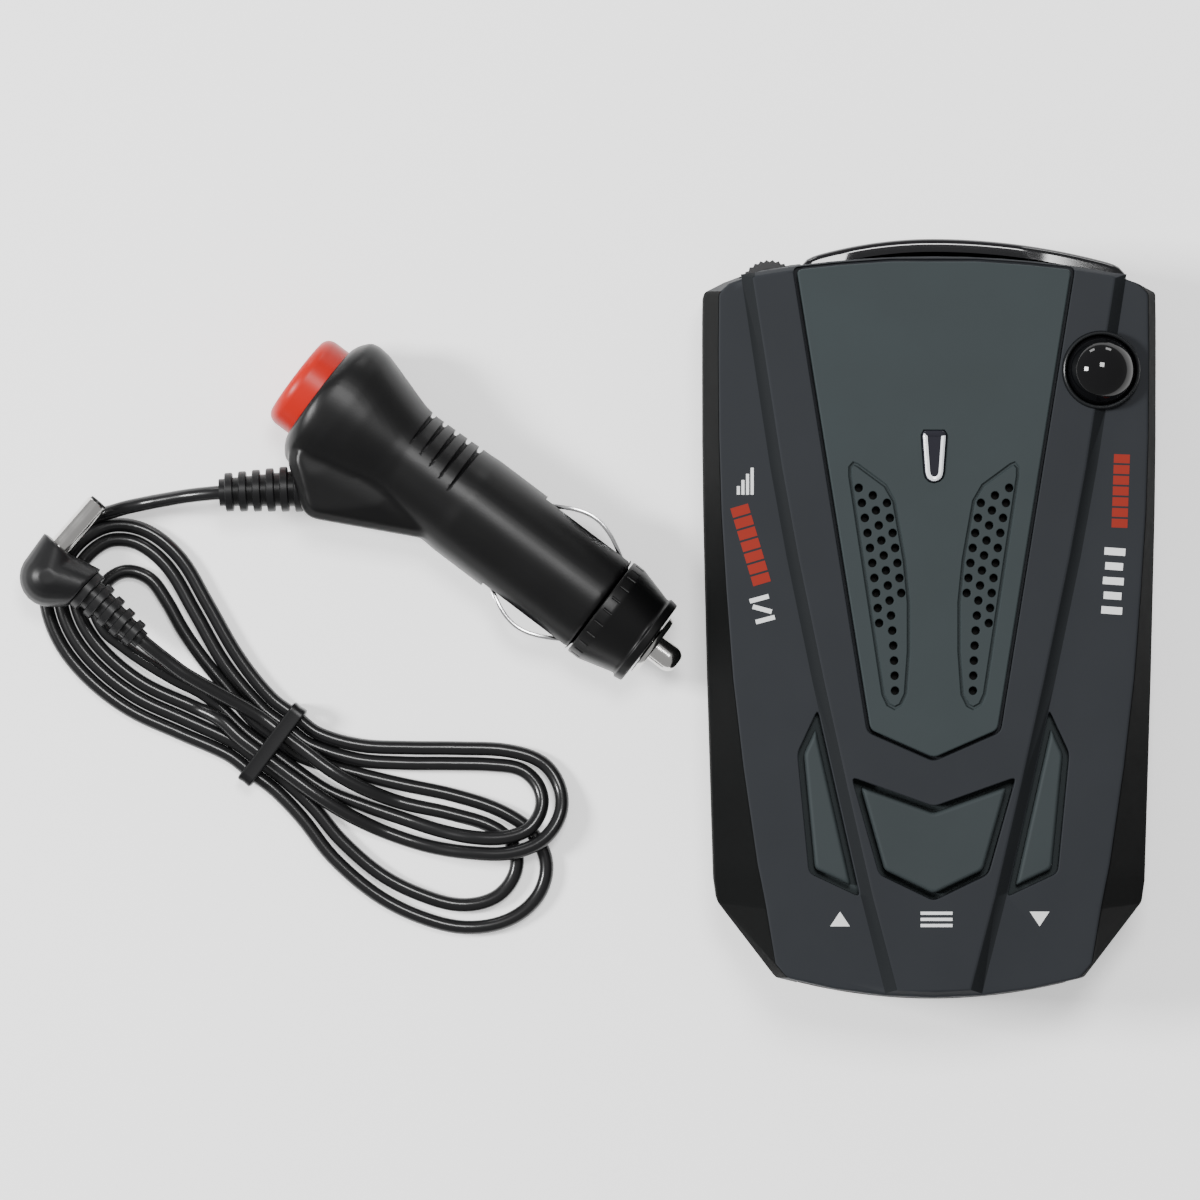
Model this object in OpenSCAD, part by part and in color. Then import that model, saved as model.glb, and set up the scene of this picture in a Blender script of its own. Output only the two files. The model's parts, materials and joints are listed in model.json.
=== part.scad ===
// Dashboard radar detector with its 12 V power lead. Millimetres, +Z up, +Y towards the windscreen.
// The origin is under the middle of the detector, on the surface that it stands on.

/* [Case] */
// Width of the case at its widest point
body_w = 75; // [74.5:0.1:76]
// Length of the case with its front window
body_l = 125.3; // [125:0.1:126]
// Height of the lower wings above the table
wing_z = 29; // [28.5:0.1:29.5]
// Height of the joint between the two halves of the case
seam_z = 14; // [13.8:0.1:14.4]
// Wall of the case
wall = 2; // [1.8:0.1:2.2]
// How far the middle of the deck stands above its wings
centre_rise = 1.2; // [1:0.1:1.4]
// Height of the rubber feet
foot_h = 1.2; // [1:0.1:1.6]

/* [Front window, dome and lamp] */
// Lowest edge of the front window
window_z0 = 7; // [6:0.5:9]
// Highest edge of the front window
window_z1 = 26; // [24:0.5:26]
// Radius of the laser dome
dome_r = 5.7; // [5.5:0.1:5.8]
// Radius of the ring round the dome
bezel_r = 6.4; // [6.3:0.1:6.6]
// Length of the indicator lamp
lamp_l = 8.6; // [8:0.1:9]

/* [Grilles] */
// Radius of one speaker hole
hole_r = 0.68; // [0.6:0.02:0.72]
// Distance between two rows of speaker holes
hole_pitch = 2.45; // [2.4:0.05:2.6]
// Least distance from a hole's centre to the edge of its leaf
hole_margin = 1.2; // [1.15:0.05:1.4]

/* [Keys and wheel] */
// Travel of the three keys
key_travel = 0.8; // [0.5:0.1:0.8]
// Gap between a key and its opening
key_gap = 0.5; // [0.4:0.05:0.6]
// Slope of a key's side, as the inset of its top
key_slope = 0.8; // [0.6:0.1:0.9]
// Radius of the volume wheel
wheel_r = 4.9; // [4.7:0.1:4.9]
// Number of teeth on the volume wheel
wheel_teeth = 30; // [24:1:36]

/* [Power jack] */
// Radius of the hole in the side wall for the power plug
jack_hole_r = 2.8; // [2.6:0.1:3]
// Height of the power jack's axis
jack_z = 9.5; // [9:0.1:10]

/* [12 V plug] */
// Radius of the plug's barrel
barrel_r = 9.25; // [9.1:0.05:9.4]
// Height of the plug's axis above the table
plug_z = 9.8; // [9.8:0.1:10.2]
// Radius of the red push button
button_r = 8.4; // [8.2:0.1:8.4]
// Travel of the red push button
button_travel = 2; // [1:0.1:2]
// Radius of the centre contact
contact_r = 2.3; // [2.2:0.05:2.3]

/* [Cord] */
// Diameter of the cord
cord_d = 2.4; // [2.2:0.1:2.6]
// Height of the tied hank
hank_h = 5; // [4.8:0.1:5.4]

/* [Hidden] */

eps = 0.01;
half_w = body_w / 2;
half_l = body_l / 2;
centre_z = wing_z + centre_rise;
deck_floor_z = wing_z - wall;
panel_floor_z = centre_z - 1.8;
panel_top_z = centre_z + 0.4;
bevel_z = 17;
plug_angle = -37.1;
cord_r = cord_d / 2;

// ---- outlines ----

// Front edge of the case, its rear edge, and the bow of the front window
function front_y(x) = half_l - 2.25 - x * x / 330;
function rear_y(x) = -half_l + x * x / 178;
function window_y(x) = half_l - x * x / (x < 0 ? 136 : 216);

// A right half that starts at the rear and ends at the front, with its mirror image
function both(half) = concat(half,
    [for (i = [len(half) - 1:-1:0]) if (half[i][0] > eps) [-half[i][0], half[i][1]]]);
function flipped(points) = [for (i = [len(points) - 1:-1:0]) [-points[i][0], points[i][1]]];

// Outward normal of the edge that leaves point i of an anticlockwise outline
function edge_normal(points, i) =
    let (a = points[i % len(points)], b = points[(i + 1) % len(points)], d = b - a)
    [d[1], -d[0]] / norm(d);

// An anticlockwise outline moved inwards by the same distance on every side
function inset(points, distance) = [
    for (i = [0:len(points) - 1])
        let (n = edge_normal(points, i), m = edge_normal(points, i + len(points) - 1), s = n + m)
        points[i] - s * 2 * distance / (s * s)
];

// Least distance from a point inside a convex outline to its edges
function depth_in(p, points) = min([
    for (i = [0:len(points) - 1]) (points[i] - p) * edge_normal(points, i)
]);

case_outline = both(concat(
    [for (x = [0:8.5:25.5]) [x, rear_y(x)]],
    [[half_w - 2.4, -46.5], [half_w - 1.9, -43], [half_w - 0.9, -9.5], [half_w - 0.2, 20],
     [half_w, 40], [half_w - 0.1, 50], [half_w - 0.5, 54.5]],
    [for (x = [34:-5.5:1]) [x, front_y(x)]]
));
deck_outline = both(concat(
    [for (x = [0:8:24]) [x, rear_y(x) + 1.1]],
    [[25.9, -56], [27.4, -46.7], [28.8, -39.7], [31.1, -24], [32.8, -9.5], [33.9, 4.8],
     [34.7, 17.4], [35.1, 30], [35.2, 45], [35, 53.2]],
    [for (x = [33:-5.5:1]) [x, front_y(x) - 0.9]]
));
// Half width of the raised centre at the middle of its sloping strips
strip_line = [[7, -60.8], [11, -45], [15.1, -27.2], [19, -9.5], [23.1, 10.3], [25.8, 25.1],
              [28, 39.4], [30.6, 56.3]];
function centre_outline(reach) = both(concat(
    [[0, -61]],
    [for (p = strip_line) [p[0] + reach, p[1]]],
    [for (x = [24:-6:0]) [x, front_y(x) - 0.95]]
));
panel_outline = both([[0, -22.6], [10.6, -17.95], [22.7, 57.5], [15, 58.3], [7, 58.85]]);
leaf_outline = [[8.5, -12], [13.9, 23.6], [13.9, 25.1], [13.2, 25.9], [12.4, 25.6], [7.8, 22.2],
                [6.3, 19.6], [4.6, 10], [3.9, 3], [3.9, -5], [4.4, -12], [5.3, -13.9],
                [6.4, -14.5], [7.7, -13.8]];
up_outline = [[-18.9, -14.5], [-22.2, -21.6], [-20.3, -41.2], [-12, -45.1]];
menu_outline = both([[0, -45.7], [8.9, -41.4], [13.4, -25.5], [0.01, -30.3]]);
window_x0 = -21.5;
window_x1 = 31.5;
lamp_y = 22.5;
lamp_outline = concat(
    [for (a = [180:30:360]) [1.65 * cos(a), lamp_y + 1.65 + 1.65 * sin(a)]],
    [[2.1, lamp_y + lamp_l - 0.8], [1.7, lamp_y + lamp_l], [-1.7, lamp_y + lamp_l],
     [-2.1, lamp_y + lamp_l - 0.8]]
);
// Rows of staggered holes that keep clear of a leaf's edge, converging at its lower end
function leaf_mid(y) = let (t = (y + 12) / 36) 6.35 + 4 * t * t + 0.4 * t;
leaf_holes = [
    for (row = [0:15], column = [-1:1])
        let (y = -11.4 + hole_pitch * (row + (column == 0 ? 0 : 0.5)),
             p = [leaf_mid(y) + 2.05 * column, y])
        if (depth_in(p, leaf_outline) > hole_margin) p
];

case_screw_at = [[-29.4, 24], [29.4, 24], [-19.5, -48], [19.5, -48]];
board_screw_at = [[-22, -40], [22, -40], [-22, 18], [22, 18]];
foot_at = [[-27, -46], [27, -46], [-29, 48], [29, 48]];
switch_at = [[-17, -31], [0, -36.5], [17, -31]];
wheel_at = [-26.6, 54.5];
dome_at = [27.3, 40.9];
speaker_at = [0, 4];
jack_y = 40;

// ---- shared shapes ----

module slab(points, z0, z1) {
    translate([0, 0, z0]) linear_extrude(z1 - z0) polygon(points);
}

module rod(x, y, z0, z1, r) {
    translate([x, y, z0]) cylinder(r = r, h = z1 - z0, $fn = 48);
}

module block(low, high) {
    translate(low) cube(high - low);
}

// A solid of revolution about X from [x, radius] points
module turned(profile) {
    rotate([90, 0, 90]) rotate_extrude($fn = 64) polygon([for (p = profile) [p[1], p[0]]]);
}

// Smooth points through a route: Catmull-Rom, count steps for each stretch
function at(route, i) = route[max(0, min(len(route) - 1, i))];
function smooth(route, count) = concat([
    for (i = [0:len(route) - 2], k = [0:count - 1])
        let (a = at(route, i - 1), b = route[i], c = route[i + 1], d = at(route, i + 2),
             t = k / count)
        (2 * b + (c - a) * t + (2 * a - 5 * b + 4 * c - d) * t * t
            + (3 * b - a - 3 * c + d) * t * t * t) / 2
], [route[len(route) - 1]]);

// A round tube swept along points as one polyhedron
module tube(points, r, sides = 8, up = [0, 0, 1]) {
    last = len(points) - 1;
    rings = [
        for (i = [0:last])
            let (d = points[min(last, i + 1)] - points[max(0, i - 1)],
                 t = d / norm(d),
                 side = cross(t, up),
                 u = side / norm(side),
                 v = cross(t, u))
            for (k = [0:sides - 1])
                points[i] + r * (u * cos(360 * k / sides) + v * sin(360 * k / sides))
    ];
    walls = [
        for (i = [0:last - 1], k = [0:sides - 1])
            let (j = (k + 1) % sides, a = i * sides)
            [a + k, a + j, a + sides + j, a + sides + k]
    ];
    start = [[for (k = [sides - 1:-1:0]) k]];
    end = [[for (k = [0:sides - 1]) last * sides + k]];
    polyhedron(rings, concat(walls, start, end), convexity = 10);
}

// ---- detector: case ----

module window_space(grow) {
    xs = [for (i = [0:18]) window_x0 - grow + (window_x1 - window_x0 + 2 * grow) * i / 18];
    slab(concat(
        [for (x = xs) [x, window_y(x) - 2.2 - grow]],
        [for (i = [18:-1:0]) [xs[i], window_y(xs[i]) + grow]]
    ), window_z0 - grow, window_z1 + grow);
}

module window_cut() {
    window_space(0.02);
    block([window_x0 + 2.5, 45, window_z0 + 1.5], [window_x1 - 2.5, 70, window_z1 - 1.5]);
}

module display_space(inset_y, depth, half, z0, z1) {
    xs = [for (i = [0:10]) -half + 2 * half * i / 10];
    slab(concat(
        [for (x = xs) [x, rear_y(x) + inset_y]],
        [for (i = [10:-1:0]) [xs[i], rear_y(xs[i]) + inset_y + depth]]
    ), z0, z1);
}

module display_cut() {
    display_space(-3, 4.32, 22.02, 9.98, 23.02);
    display_space(1, 6, 20.5, 11.5, 21.5);
}

module bottom_case() {
    color("#2b2f32") difference() {
        union() {
            difference() {
                union() {
                    hull() {
                        slab(inset(case_outline, 1.6), foot_h, foot_h + eps);
                        slab(case_outline, foot_h + 2, foot_h + 2 + eps);
                    }
                    slab(case_outline, foot_h + 2, seam_z);
                }
                slab(inset(case_outline, wall), foot_h + wall, seam_z + 1);
            }
            for (p = case_screw_at) rod(p[0], p[1], foot_h + 1, seam_z, 3.4);
            for (p = board_screw_at) rod(p[0], p[1], foot_h + 1, 6, 2.4);
        }
        for (p = case_screw_at) {
            rod(p[0], p[1], foot_h - 1, 5, 2.9);
            rod(p[0], p[1], 4, seam_z + 1, 1.6);
        }
        for (p = board_screw_at) rod(p[0], p[1], 4, 7, 0.95);
        for (p = foot_at) rod(p[0], p[1], foot_h - 1, foot_h + 0.7, 4.2);
        window_cut();
        display_cut();
        translate([half_w - 6, jack_y, jack_z]) rotate([0, 90, 0])
            cylinder(r = jack_hole_r, h = 12, $fn = 64);
    }
}

module top_cover() {
    color("#363a3f") difference() {
        union() {
            difference() {
                union() {
                    hull() {
                        slab(case_outline, bevel_z - eps, bevel_z);
                        slab(deck_outline, wing_z - eps, wing_z);
                    }
                    slab(case_outline, seam_z, bevel_z);
                    hull() {
                        slab(centre_outline(0.9), wing_z - 0.5, wing_z);
                        slab(centre_outline(-1.1), centre_z - eps, centre_z);
                    }
                }
                hull() {
                    slab(inset(case_outline, wall), bevel_z - eps, bevel_z);
                    slab(inset(deck_outline, wall), deck_floor_z - eps, deck_floor_z);
                }
                slab(inset(case_outline, wall), seam_z - 1, bevel_z);
            }
            for (p = case_screw_at) rod(p[0], p[1], seam_z, deck_floor_z + 0.5, 2.9);
        }
        for (p = case_screw_at) rod(p[0], p[1], seam_z - 1, 23, 1.2);
        slab(inset(panel_outline, -0.25), panel_floor_z, centre_z + 5);
        for (leaf = [leaf_outline, flipped(leaf_outline)]) {
            slab(leaf, panel_floor_z - 0.4, centre_z);
            slab(inset(leaf, 0.45), deck_floor_z - 1, centre_z);
        }
        slab(inset(lamp_outline, -0.02), deck_floor_z - 1, centre_z);
        for (key = [up_outline, flipped(up_outline), menu_outline])
            slab(key, deck_floor_z - 1, centre_z + 1);
        rod(dome_at[0], dome_at[1], panel_floor_z - 0.4, centre_z + 5, bezel_r);
        rod(dome_at[0], dome_at[1], deck_floor_z - 1, centre_z, 5.2);
        rod(wheel_at[0], wheel_at[1], bevel_z - 0.6, bevel_z + 6, wheel_r + 0.5);
        window_cut();
        display_cut();
    }
}

module centre_panel() {
    color("#454d4e") difference() {
        slab(inset(panel_outline, 0.25), panel_floor_z, panel_top_z);
        for (leaf = [leaf_outline, flipped(leaf_outline)])
            translate([0, 0, panel_top_z - 0.35]) linear_extrude(1) difference() {
                polygon(leaf);
                polygon(inset(leaf, 0.45));
            }
        for (side = [-1, 1], p = leaf_holes)
            rod(side * p[0], p[1], panel_floor_z - 1, panel_top_z + 1, hole_r);
        slab(inset(lamp_outline, -0.02), panel_floor_z - 1, panel_top_z + 1);
    }
}

module grille_cloth() {
    color("#101112")
        for (leaf = [leaf_outline, flipped(leaf_outline)])
            slab(inset(leaf, 0.1), panel_floor_z - 0.4, panel_floor_z);
}

module front_window() {
    color("#0b0b0d") window_space(0);
}

module dome_lens() {
    seat_z = panel_floor_z - 0.4;
    color("#08080a") translate([dome_at[0], dome_at[1], 0]) rotate_extrude($fn = 64) polygon(concat(
        [for (a = [0:9:90]) [dome_r * cos(a), wing_z + dome_r * sin(a)]],
        [for (a = [90:-9:0]) [(dome_r - 1) * cos(a), wing_z + (dome_r - 1) * sin(a)]],
        [[4.3, seat_z], [4.3, deck_floor_z - 0.6], [5.1, deck_floor_z - 0.6], [5.1, seat_z],
         [dome_r, seat_z]]
    ));
}

module dome_bezel() {
    color("#17191b") translate([dome_at[0], dome_at[1], panel_floor_z - 0.4]) difference() {
        cylinder(r = bezel_r - 0.02, h = centre_z - panel_floor_z + 0.9, $fn = 64);
        translate([0, 0, -1]) cylinder(r = dome_r + 0.02, h = 9, $fn = 64);
    }
}

module indicator_lens() {
    color("#c9ccce") slab(lamp_outline, panel_floor_z - 0.8, panel_top_z + 0.5);
}

module display_window() {
    color("#120708") display_space(0.5, 0.8, 22, 10, 23);
}

module display_module() {
    color("#7a1210") {
        block([-19, -56.2, 11], [19, -53.4, 22]);
        block([-21, -53.4, 9.5], [21, -52, 22.6]);
    }
}

// ---- detector: inside ----

module main_board() {
    color("#1d5a33") difference() {
        union() {
            block([-26, -44, 6], [26, 46, 7.6]);
            block([-9, -30, 7.6], [5, -16, 9.4]);
            block([14, -20, 7.6], [22, -8, 9]);
        }
        for (p = board_screw_at) rod(p[0], p[1], 5, 9, 1.2);
    }
}

module board_screws() {
    color("#b8bcc0") for (p = board_screw_at) {
        rod(p[0], p[1], 4.2, 7.6, 0.9);
        rod(p[0], p[1], 7.6, 8.8, 1.9);
    }
}

module key_board() {
    color("#1d5a33") block([-21, -43, 16.6], [21, -18, 18.2]);
}

module tact_switches() {
    color("#2a2a2c") for (p = switch_at) {
        block([p[0] - 3, p[1] - 3, 18.2], [p[0] + 3, p[1] + 3, 21.6]);
        rod(p[0], p[1], 21.6, 23, 1.6);
    }
}

module horn_antenna() {
    color("#b9a46a") difference() {
        hull() {
            block([-7, 23, 10.5], [7, 24, 18.5]);
            block([-18, 54, 8.4], [18, 55, 24.4]);
        }
        hull() {
            block([-5.8, 24.2, 11.7], [5.8, 25.2, 17.3]);
            block([-16.8, 54.5, 9.6], [16.8, 56, 23.2]);
        }
    }
}

module receiver_shield() {
    color("#c4c8ca") difference() {
        block([-13, -12, 7.6], [13, 22, 12.6]);
        block([-12.4, -11.4, 7], [12.4, 21.4, 12]);
    }
}

module laser_condenser() {
    color("#b06a6a") translate([24.5, 50, 16]) rotate([-90, 0, 0])
        rotate_extrude($fn = 48) polygon(concat([[0, 0]],
            [for (i = [0:6]) [4 * cos(15 * i), 1 + 2 * sin(15 * i)]]));
}

module laser_sensor() {
    color("#1d5a33") {
        block([21, 35, 23], [32.4, 46.6, 24.2]);
        rod(dome_at[0], dome_at[1], 24.2, 25.8, 2);
    }
}

module speaker_frame() {
    color("#5b5f63") translate([speaker_at[0], speaker_at[1], 0])
        rotate_extrude($fn = 64) polygon([[6, 19], [9, 19], [16, 25.6], [17, 25.6], [17, 26.9],
            [14.6, 26.9], [14.6, 26], [8.4, 20], [6, 20]]);
}

module speaker_cone() {
    color("#1a1a1a") translate([speaker_at[0], speaker_at[1], 0])
        rotate_extrude($fn = 64) polygon([[0, 22.2], [4, 21.6], [14.4, 26.1], [14.4, 26.6],
            [4, 22.2], [0, 22.8]]);
}

module speaker_magnet() {
    color("#3a3a3c") rod(speaker_at[0], speaker_at[1], 14, 19, 8);
}

module speaker_leads() {
    color("#b02018") for (side = [-1, 1])
        tube(smooth([[side * 17.3, 6, 25], [side * 19, 6, 22], [side * 19.4, 4, 15],
                     [side * 19.4, 2, 11], [side * 19.4, 2, 7.65]], 2), 0.5, 8, [0, 1, 0]);
}

module volume_potentiometer() {
    color("#4a4d50") {
        block([-29.8, 48.5, 8], [-23.4, 55.4, 16]);
        rod(wheel_at[0], wheel_at[1], 16, 22.6, 1.2);
    }
}

module power_jack() {
    color("#151515") {
        difference() {
            block([24.5, jack_y - 4.5, 7.6], [34.3, jack_y + 4.5, 13.2]);
            translate([26, jack_y, jack_z]) rotate([0, 90, 0]) cylinder(r = 1.85, h = 12, $fn = 48);
        }
        translate([25, jack_y, jack_z]) rotate([0, 90, 0]) cylinder(r = 0.6, h = 7, $fn = 32);
    }
}

module case_screws() {
    color("#3c3e40") for (p = case_screw_at) {
        rod(p[0], p[1], 3.2, 5, 2.7);
        rod(p[0], p[1], 5, 21, 1.15);
    }
}

module rubber_feet() {
    color("#1b1b1b") for (p = foot_at) rod(p[0], p[1], 0, foot_h + 0.7, 4.15);
}

module rear_label() {
    color("#c8c8c4") block([-22, -14, foot_h - 0.2], [22, 14, foot_h]);
}

// ---- detector: keys and wheel ----

// A key with sloping sides, a flange under the deck and a plunger over its switch
module key(opening, top_z, switch) {
    body = inset(opening, key_gap);
    flange_z = deck_floor_z - 0.3;
    difference() {
        union() {
            hull() {
                slab(body, top_z - 1.6, top_z - 1.6 + eps);
                slab(inset(body, key_slope), top_z - eps, top_z);
            }
            slab(body, flange_z - 1, top_z - 1.6);
        }
        children();
    }
    slab(inset(opening, -0.7), flange_z - 1, flange_z);
    rod(switch[0], switch[1], 23 + key_travel + 0.15, flange_z - 1, 1.5);
}

module up_button() {
    color("#34383c") key(up_outline, wing_z + 0.3, switch_at[0]);
}

module down_button() {
    color("#34383c") key(flipped(up_outline), wing_z + 0.3, switch_at[2]);
}

module menu_button() {
    top = centre_z + 0.3;
    body = inset(menu_outline, key_gap);
    color("#34383c") {
        slab(body, deck_floor_z - 1.3, top - 0.8);
        slab(inset(menu_outline, key_gap + key_slope), top - 0.8, top);
        slab(inset(menu_outline, -0.7), deck_floor_z - 1.3, deck_floor_z - 0.3);
        rod(switch_at[1][0], switch_at[1][1], 23 + key_travel + 0.15, deck_floor_z - 1.3, 1.5);
    }
}

module volume_wheel() {
    color("#202224") translate([wheel_at[0], wheel_at[1], bevel_z]) difference() {
        linear_extrude(5) polygon([
            for (i = [0:2 * wheel_teeth - 1])
                (wheel_r - 0.35 * (i % 2)) * [cos(180 * i / wheel_teeth), sin(180 * i / wheel_teeth)]
        ]);
        translate([0, 0, -1]) cylinder(r = 1.25, h = 9, $fn = 48);
    }
}

// ---- 12 V plug, drawn along X with its tip at +X ----

// Where the two strain reliefs start, and their directions in the table's plane
relief_from = [-104.1, 22, plug_z];
relief_turn = 183;
relief_l = 13.8;
small_plug_z = 7.8;
jack_from = [-140.6, 5.4, small_plug_z];
jack_turn = -42;
jack_relief_l = 13;

module relief_place() {
    translate(relief_from) rotate([0, 0, relief_turn]) children();
}

module plug_place() {
    translate([-67, 11.9, plug_z]) rotate([0, 0, plug_angle]) children();
}

module slice(x, wide, high) {
    translate([x, 0, 0]) scale([1, wide / 10, high / 10]) rotate([0, 90, 0])
        cylinder(r = 10, h = 0.4, $fn = 48);
}

// Where the lower shell's screw stands beside the switch
screw_place = [-36, 9.8];

module plug_outside() {
    turned([[-26, 0], [-26, 8.7], [-14, barrel_r - 0.1], [-12, barrel_r], [15.5, barrel_r],
            [15.5, 7.5], [21, 7.5], [21, 0]]);
    hull() {
        slice(-42.7, 9.4, 9.2);
        slice(-40.5, 12.3, 9.8);
        slice(-36.9, 12.3, 9.8);
        slice(-24.7, 8.7, 8.7);
    }
    hull() {
        translate([-36.8, -9.4, -6.6]) cylinder(r = 4.2, h = 13.2, $fn = 32);
        translate([-32, -13.9, -6]) cylinder(r = 3.4, h = 12, $fn = 32);
        translate([-26, -7, -6.6]) cylinder(r = 4, h = 13.2, $fn = 32);
    }
}

module plug_inside() {
    turned([[-43, 0], [-43, 8.7], [-38, 8.7], [-38, 7.4], [-28, 7.4], [-27.9, 4], [-25, 4],
            [-24.9, 7], [-4, 7], [-4, 7.4], [15, 7.4], [15.1, 6], [22, 6], [22, 0]]);
    for (side = [-1, 1])
        block([-2.2, side > 0 ? 5 : -12, -3], [15.2, side > 0 ? 12 : -5, 3]);
    for (i = [0:4])
        turned([[-25.6 + 2.4 * i, 8.3], [-25.6 + 2.4 * i, 12], [-24.8 + 2.4 * i, 12],
                [-24.8 + 2.4 * i, 8.3]]);
    rod(screw_place[0], screw_place[1], -20, -4.4, 2);
    rod(screw_place[0], screw_place[1], -5, 3.6, 1.05);
}

module plug_half(low_z) {
    difference() {
        plug_place() intersection() {
            difference() {
                plug_outside();
                plug_inside();
            }
            block([-60, -25, low_z], [40, 25, low_z + 12]);
        }
        relief_place() turned([[-3.6, 0], [-3.6, 2.6], [-0.05, 2.6], [-0.05, 3.95], [9, 3.95],
                               [9, 0]]);
    }
}

module plug_upper_shell() {
    color("#1b1b1c") plug_half(0);
}

module plug_lower_shell() {
    color("#1b1b1c") plug_half(-12);
}

module plug_switch_button() {
    color("#e02d1e") plug_place() turned(concat(
        [[-40.5, 0], [-40.5, button_r], [-45.6, button_r]],
        [for (i = [1:6]) [-45.6 - 2.5 * sin(15 * i), button_r - 1.6 + 1.6 * cos(15 * i)]],
        [[-48.1, 0]]));
}

module plug_switch() {
    color("#2f3133") plug_place() {
        block([-36, -4.9, -4.9], [-28.1, 4.9, 4.9]);
        turned([[-40.3 + button_travel, 0], [-40.3 + button_travel, 3], [-36, 3], [-36, 0]]);
    }
}

// A bowed leaf spring in the XY plane, on the +Y side of the barrel
module contact_leaf() {
    bow = [for (i = [0:10]) let (x = -1 + 1.5 * i) [x, 8.7 + 2.8 * sin(18 * i)]];
    translate([0, 0, -2.5]) linear_extrude(5) polygon(concat(bow,
        [for (i = [10:-1:0]) bow[i] - [0, 0.8]]));
}

module side_contact_left() {
    color("#c9cbcd") plug_place() contact_leaf();
}

module side_contact_right() {
    color("#c9cbcd") plug_place() mirror([0, 1, 0]) contact_leaf();
}

module nose_cap() {
    color("#1b1b1c") plug_place() turned([[15.8, 7.58], [15.8, 9.2], [18, 9.2], [24.2, 7.6],
        [24.4, 8], [26, 7.8], [26, 3.08], [21.4, 3.08], [21.4, 7.58]]);
}

module nose_ring() {
    color("#c9cbcd") plug_place() turned([[21.8, 2.4], [21.8, 3], [26.3, 3], [26.3, 5.6],
        [27.2, 5.2], [27.2, 2.4]]);
}

module centre_contact() {
    color("#d0d2d4") plug_place() turned(concat(
        [[16.5, 0], [16.5, contact_r], [20, contact_r], [20, 3.4], [21.4, 3.4],
         [21.4, contact_r]],
        [for (i = [0:6]) [30.3 + 1.5 * sin(15 * i), contact_r - 1.5 + 1.5 * cos(15 * i)]],
        [[31.8, 0]]));
}

module contact_spring() {
    color("#b8bcc0") plug_place()
        tube([for (i = [0:60]) [-24.2 + i * 0.1, 2.5 * cos(i * 30), 2.5 * sin(i * 30)]], 0.3, 6, [1, 0, 0]);
}

module plug_fuse() {
    color("#cfd8d8") plug_place() turned([[-13.5, 0], [-13.5, 3.1], [-8, 3.1], [-8, 2.9],
        [11, 2.9], [11, 3.1], [16.5, 3.1], [16.5, 0]]);
}

module plug_screw() {
    color("#4a4c4e") plug_place() {
        rod(screw_place[0], screw_place[1], -5.6, -4.4, 1.8);
        rod(screw_place[0], screw_place[1], -4.4, 3.4, 1);
    }
}

// A ribbed strain relief that starts at the origin and runs along +X
module relief(length, r0, r1, bore_r, ribs) {
    pitch = length / ribs;
    difference() {
        turned(concat([[0, 0]],
            [for (i = [0:ribs - 1], q = [[0, 0], [0.55, 0], [0.55, 0.9], [0.98, 0.9]])
                let (r = r0 + (r1 - r0) * i / ribs)
                [pitch * (i + q[0]), r - q[1]]],
            [[length, 0]]));
        turned([[length - 2, 0], [length - 2, bore_r], [length + 1, bore_r], [length + 1, 0]]);
    }
}

module plug_strain_relief() {
    color("#161617") relief_place() {
        relief(relief_l, 3.9, 3.1, cord_r, 6);
        turned([[-3.5, 0], [-3.5, 2.5], [0, 2.5], [0, 0]]);
    }
}

// ---- cord: routes in the table's frame, from the 12 V plug to the small plug ----

lead_in_route = [[-115.9, 21.4, 9.8], [-118.5, 21.2, 9.7], [-122.5, 20.8, 8.6], [-127, 20.2, 6.2],
                 [-131, 19.5, 4.4], [-135, 18.6, 3.7]];
lead_out_route = [[-132.4, -2, 7.8], [-130.2, -4, 7.6], [-127, -6.6, 6.8], [-123.5, -9.2, 6.2]];

module cord_lead_in() {
    color("#141415") tube(smooth(lead_in_route, 2), cord_r);
}

module cord_lead_out() {
    color("#141415") tube(smooth(lead_out_route, 2), cord_r);
}

module lobe(circles) {
    hull() for (c = circles) translate([c[0], c[1]]) circle(r = c[2], $fn = 32);
}

tie_at = [-109.4, -20.8];
module cord_hank() {
    color("#19191a") {
        linear_extrude(2.6) lobe([[-141.5, 9, 9.5], [-133, 12, 7], [-128, -6, 8]]);
        linear_extrude(hank_h) difference() {
            union() {
                lobe([[-128, 8, 7], [-126.5, -10, 9], [tie_at[0] - 3, tie_at[1] + 2.4, 7.2]]);
                lobe([[tie_at[0] + 3, tie_at[1] - 2.4, 7.2], [-70.2, -31.5, 9.8],
                      [-76, -40.4, 12.2]]);
                translate(tie_at) rotate(plug_angle) square([10, 13.6], center = true);
            }
            lobe([[-146, 14, 6], [-146, -2, 6], [-138, 5, 9]]);
        }
    }
}

module cord_tie() {
    color("#0e0e0f") translate([tie_at[0], tie_at[1], 0]) rotate([0, 0, plug_angle])
        difference() {
            block([-1.3, -8, 0], [1.3, 8, hank_h + 1]);
            block([-2, -7, -1], [2, 7, hank_h + 0.02]);
        }
}

// ---- right-angle plug at the cord's far end ----

barrel_turn = 49;
barrel_from = [-144.6, 12.4, small_plug_z];
elbow = [-146.4, 7.2, small_plug_z];

module jack_plug_body() {
    color("#151516") {
        hull() {
            translate(elbow) sphere(r = 5, $fn = 24);
            translate(barrel_from) rotate([0, 0, barrel_turn]) rotate([0, -90, 0])
                cylinder(r = 3.4, h = 0.4, $fn = 32);
        }
        hull() {
            translate(elbow) sphere(r = 5, $fn = 24);
            translate(jack_from) rotate([0, 0, jack_turn]) rotate([0, -90, 0])
                cylinder(r = 4.2, h = 0.4, $fn = 32);
        }
    }
}

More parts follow.
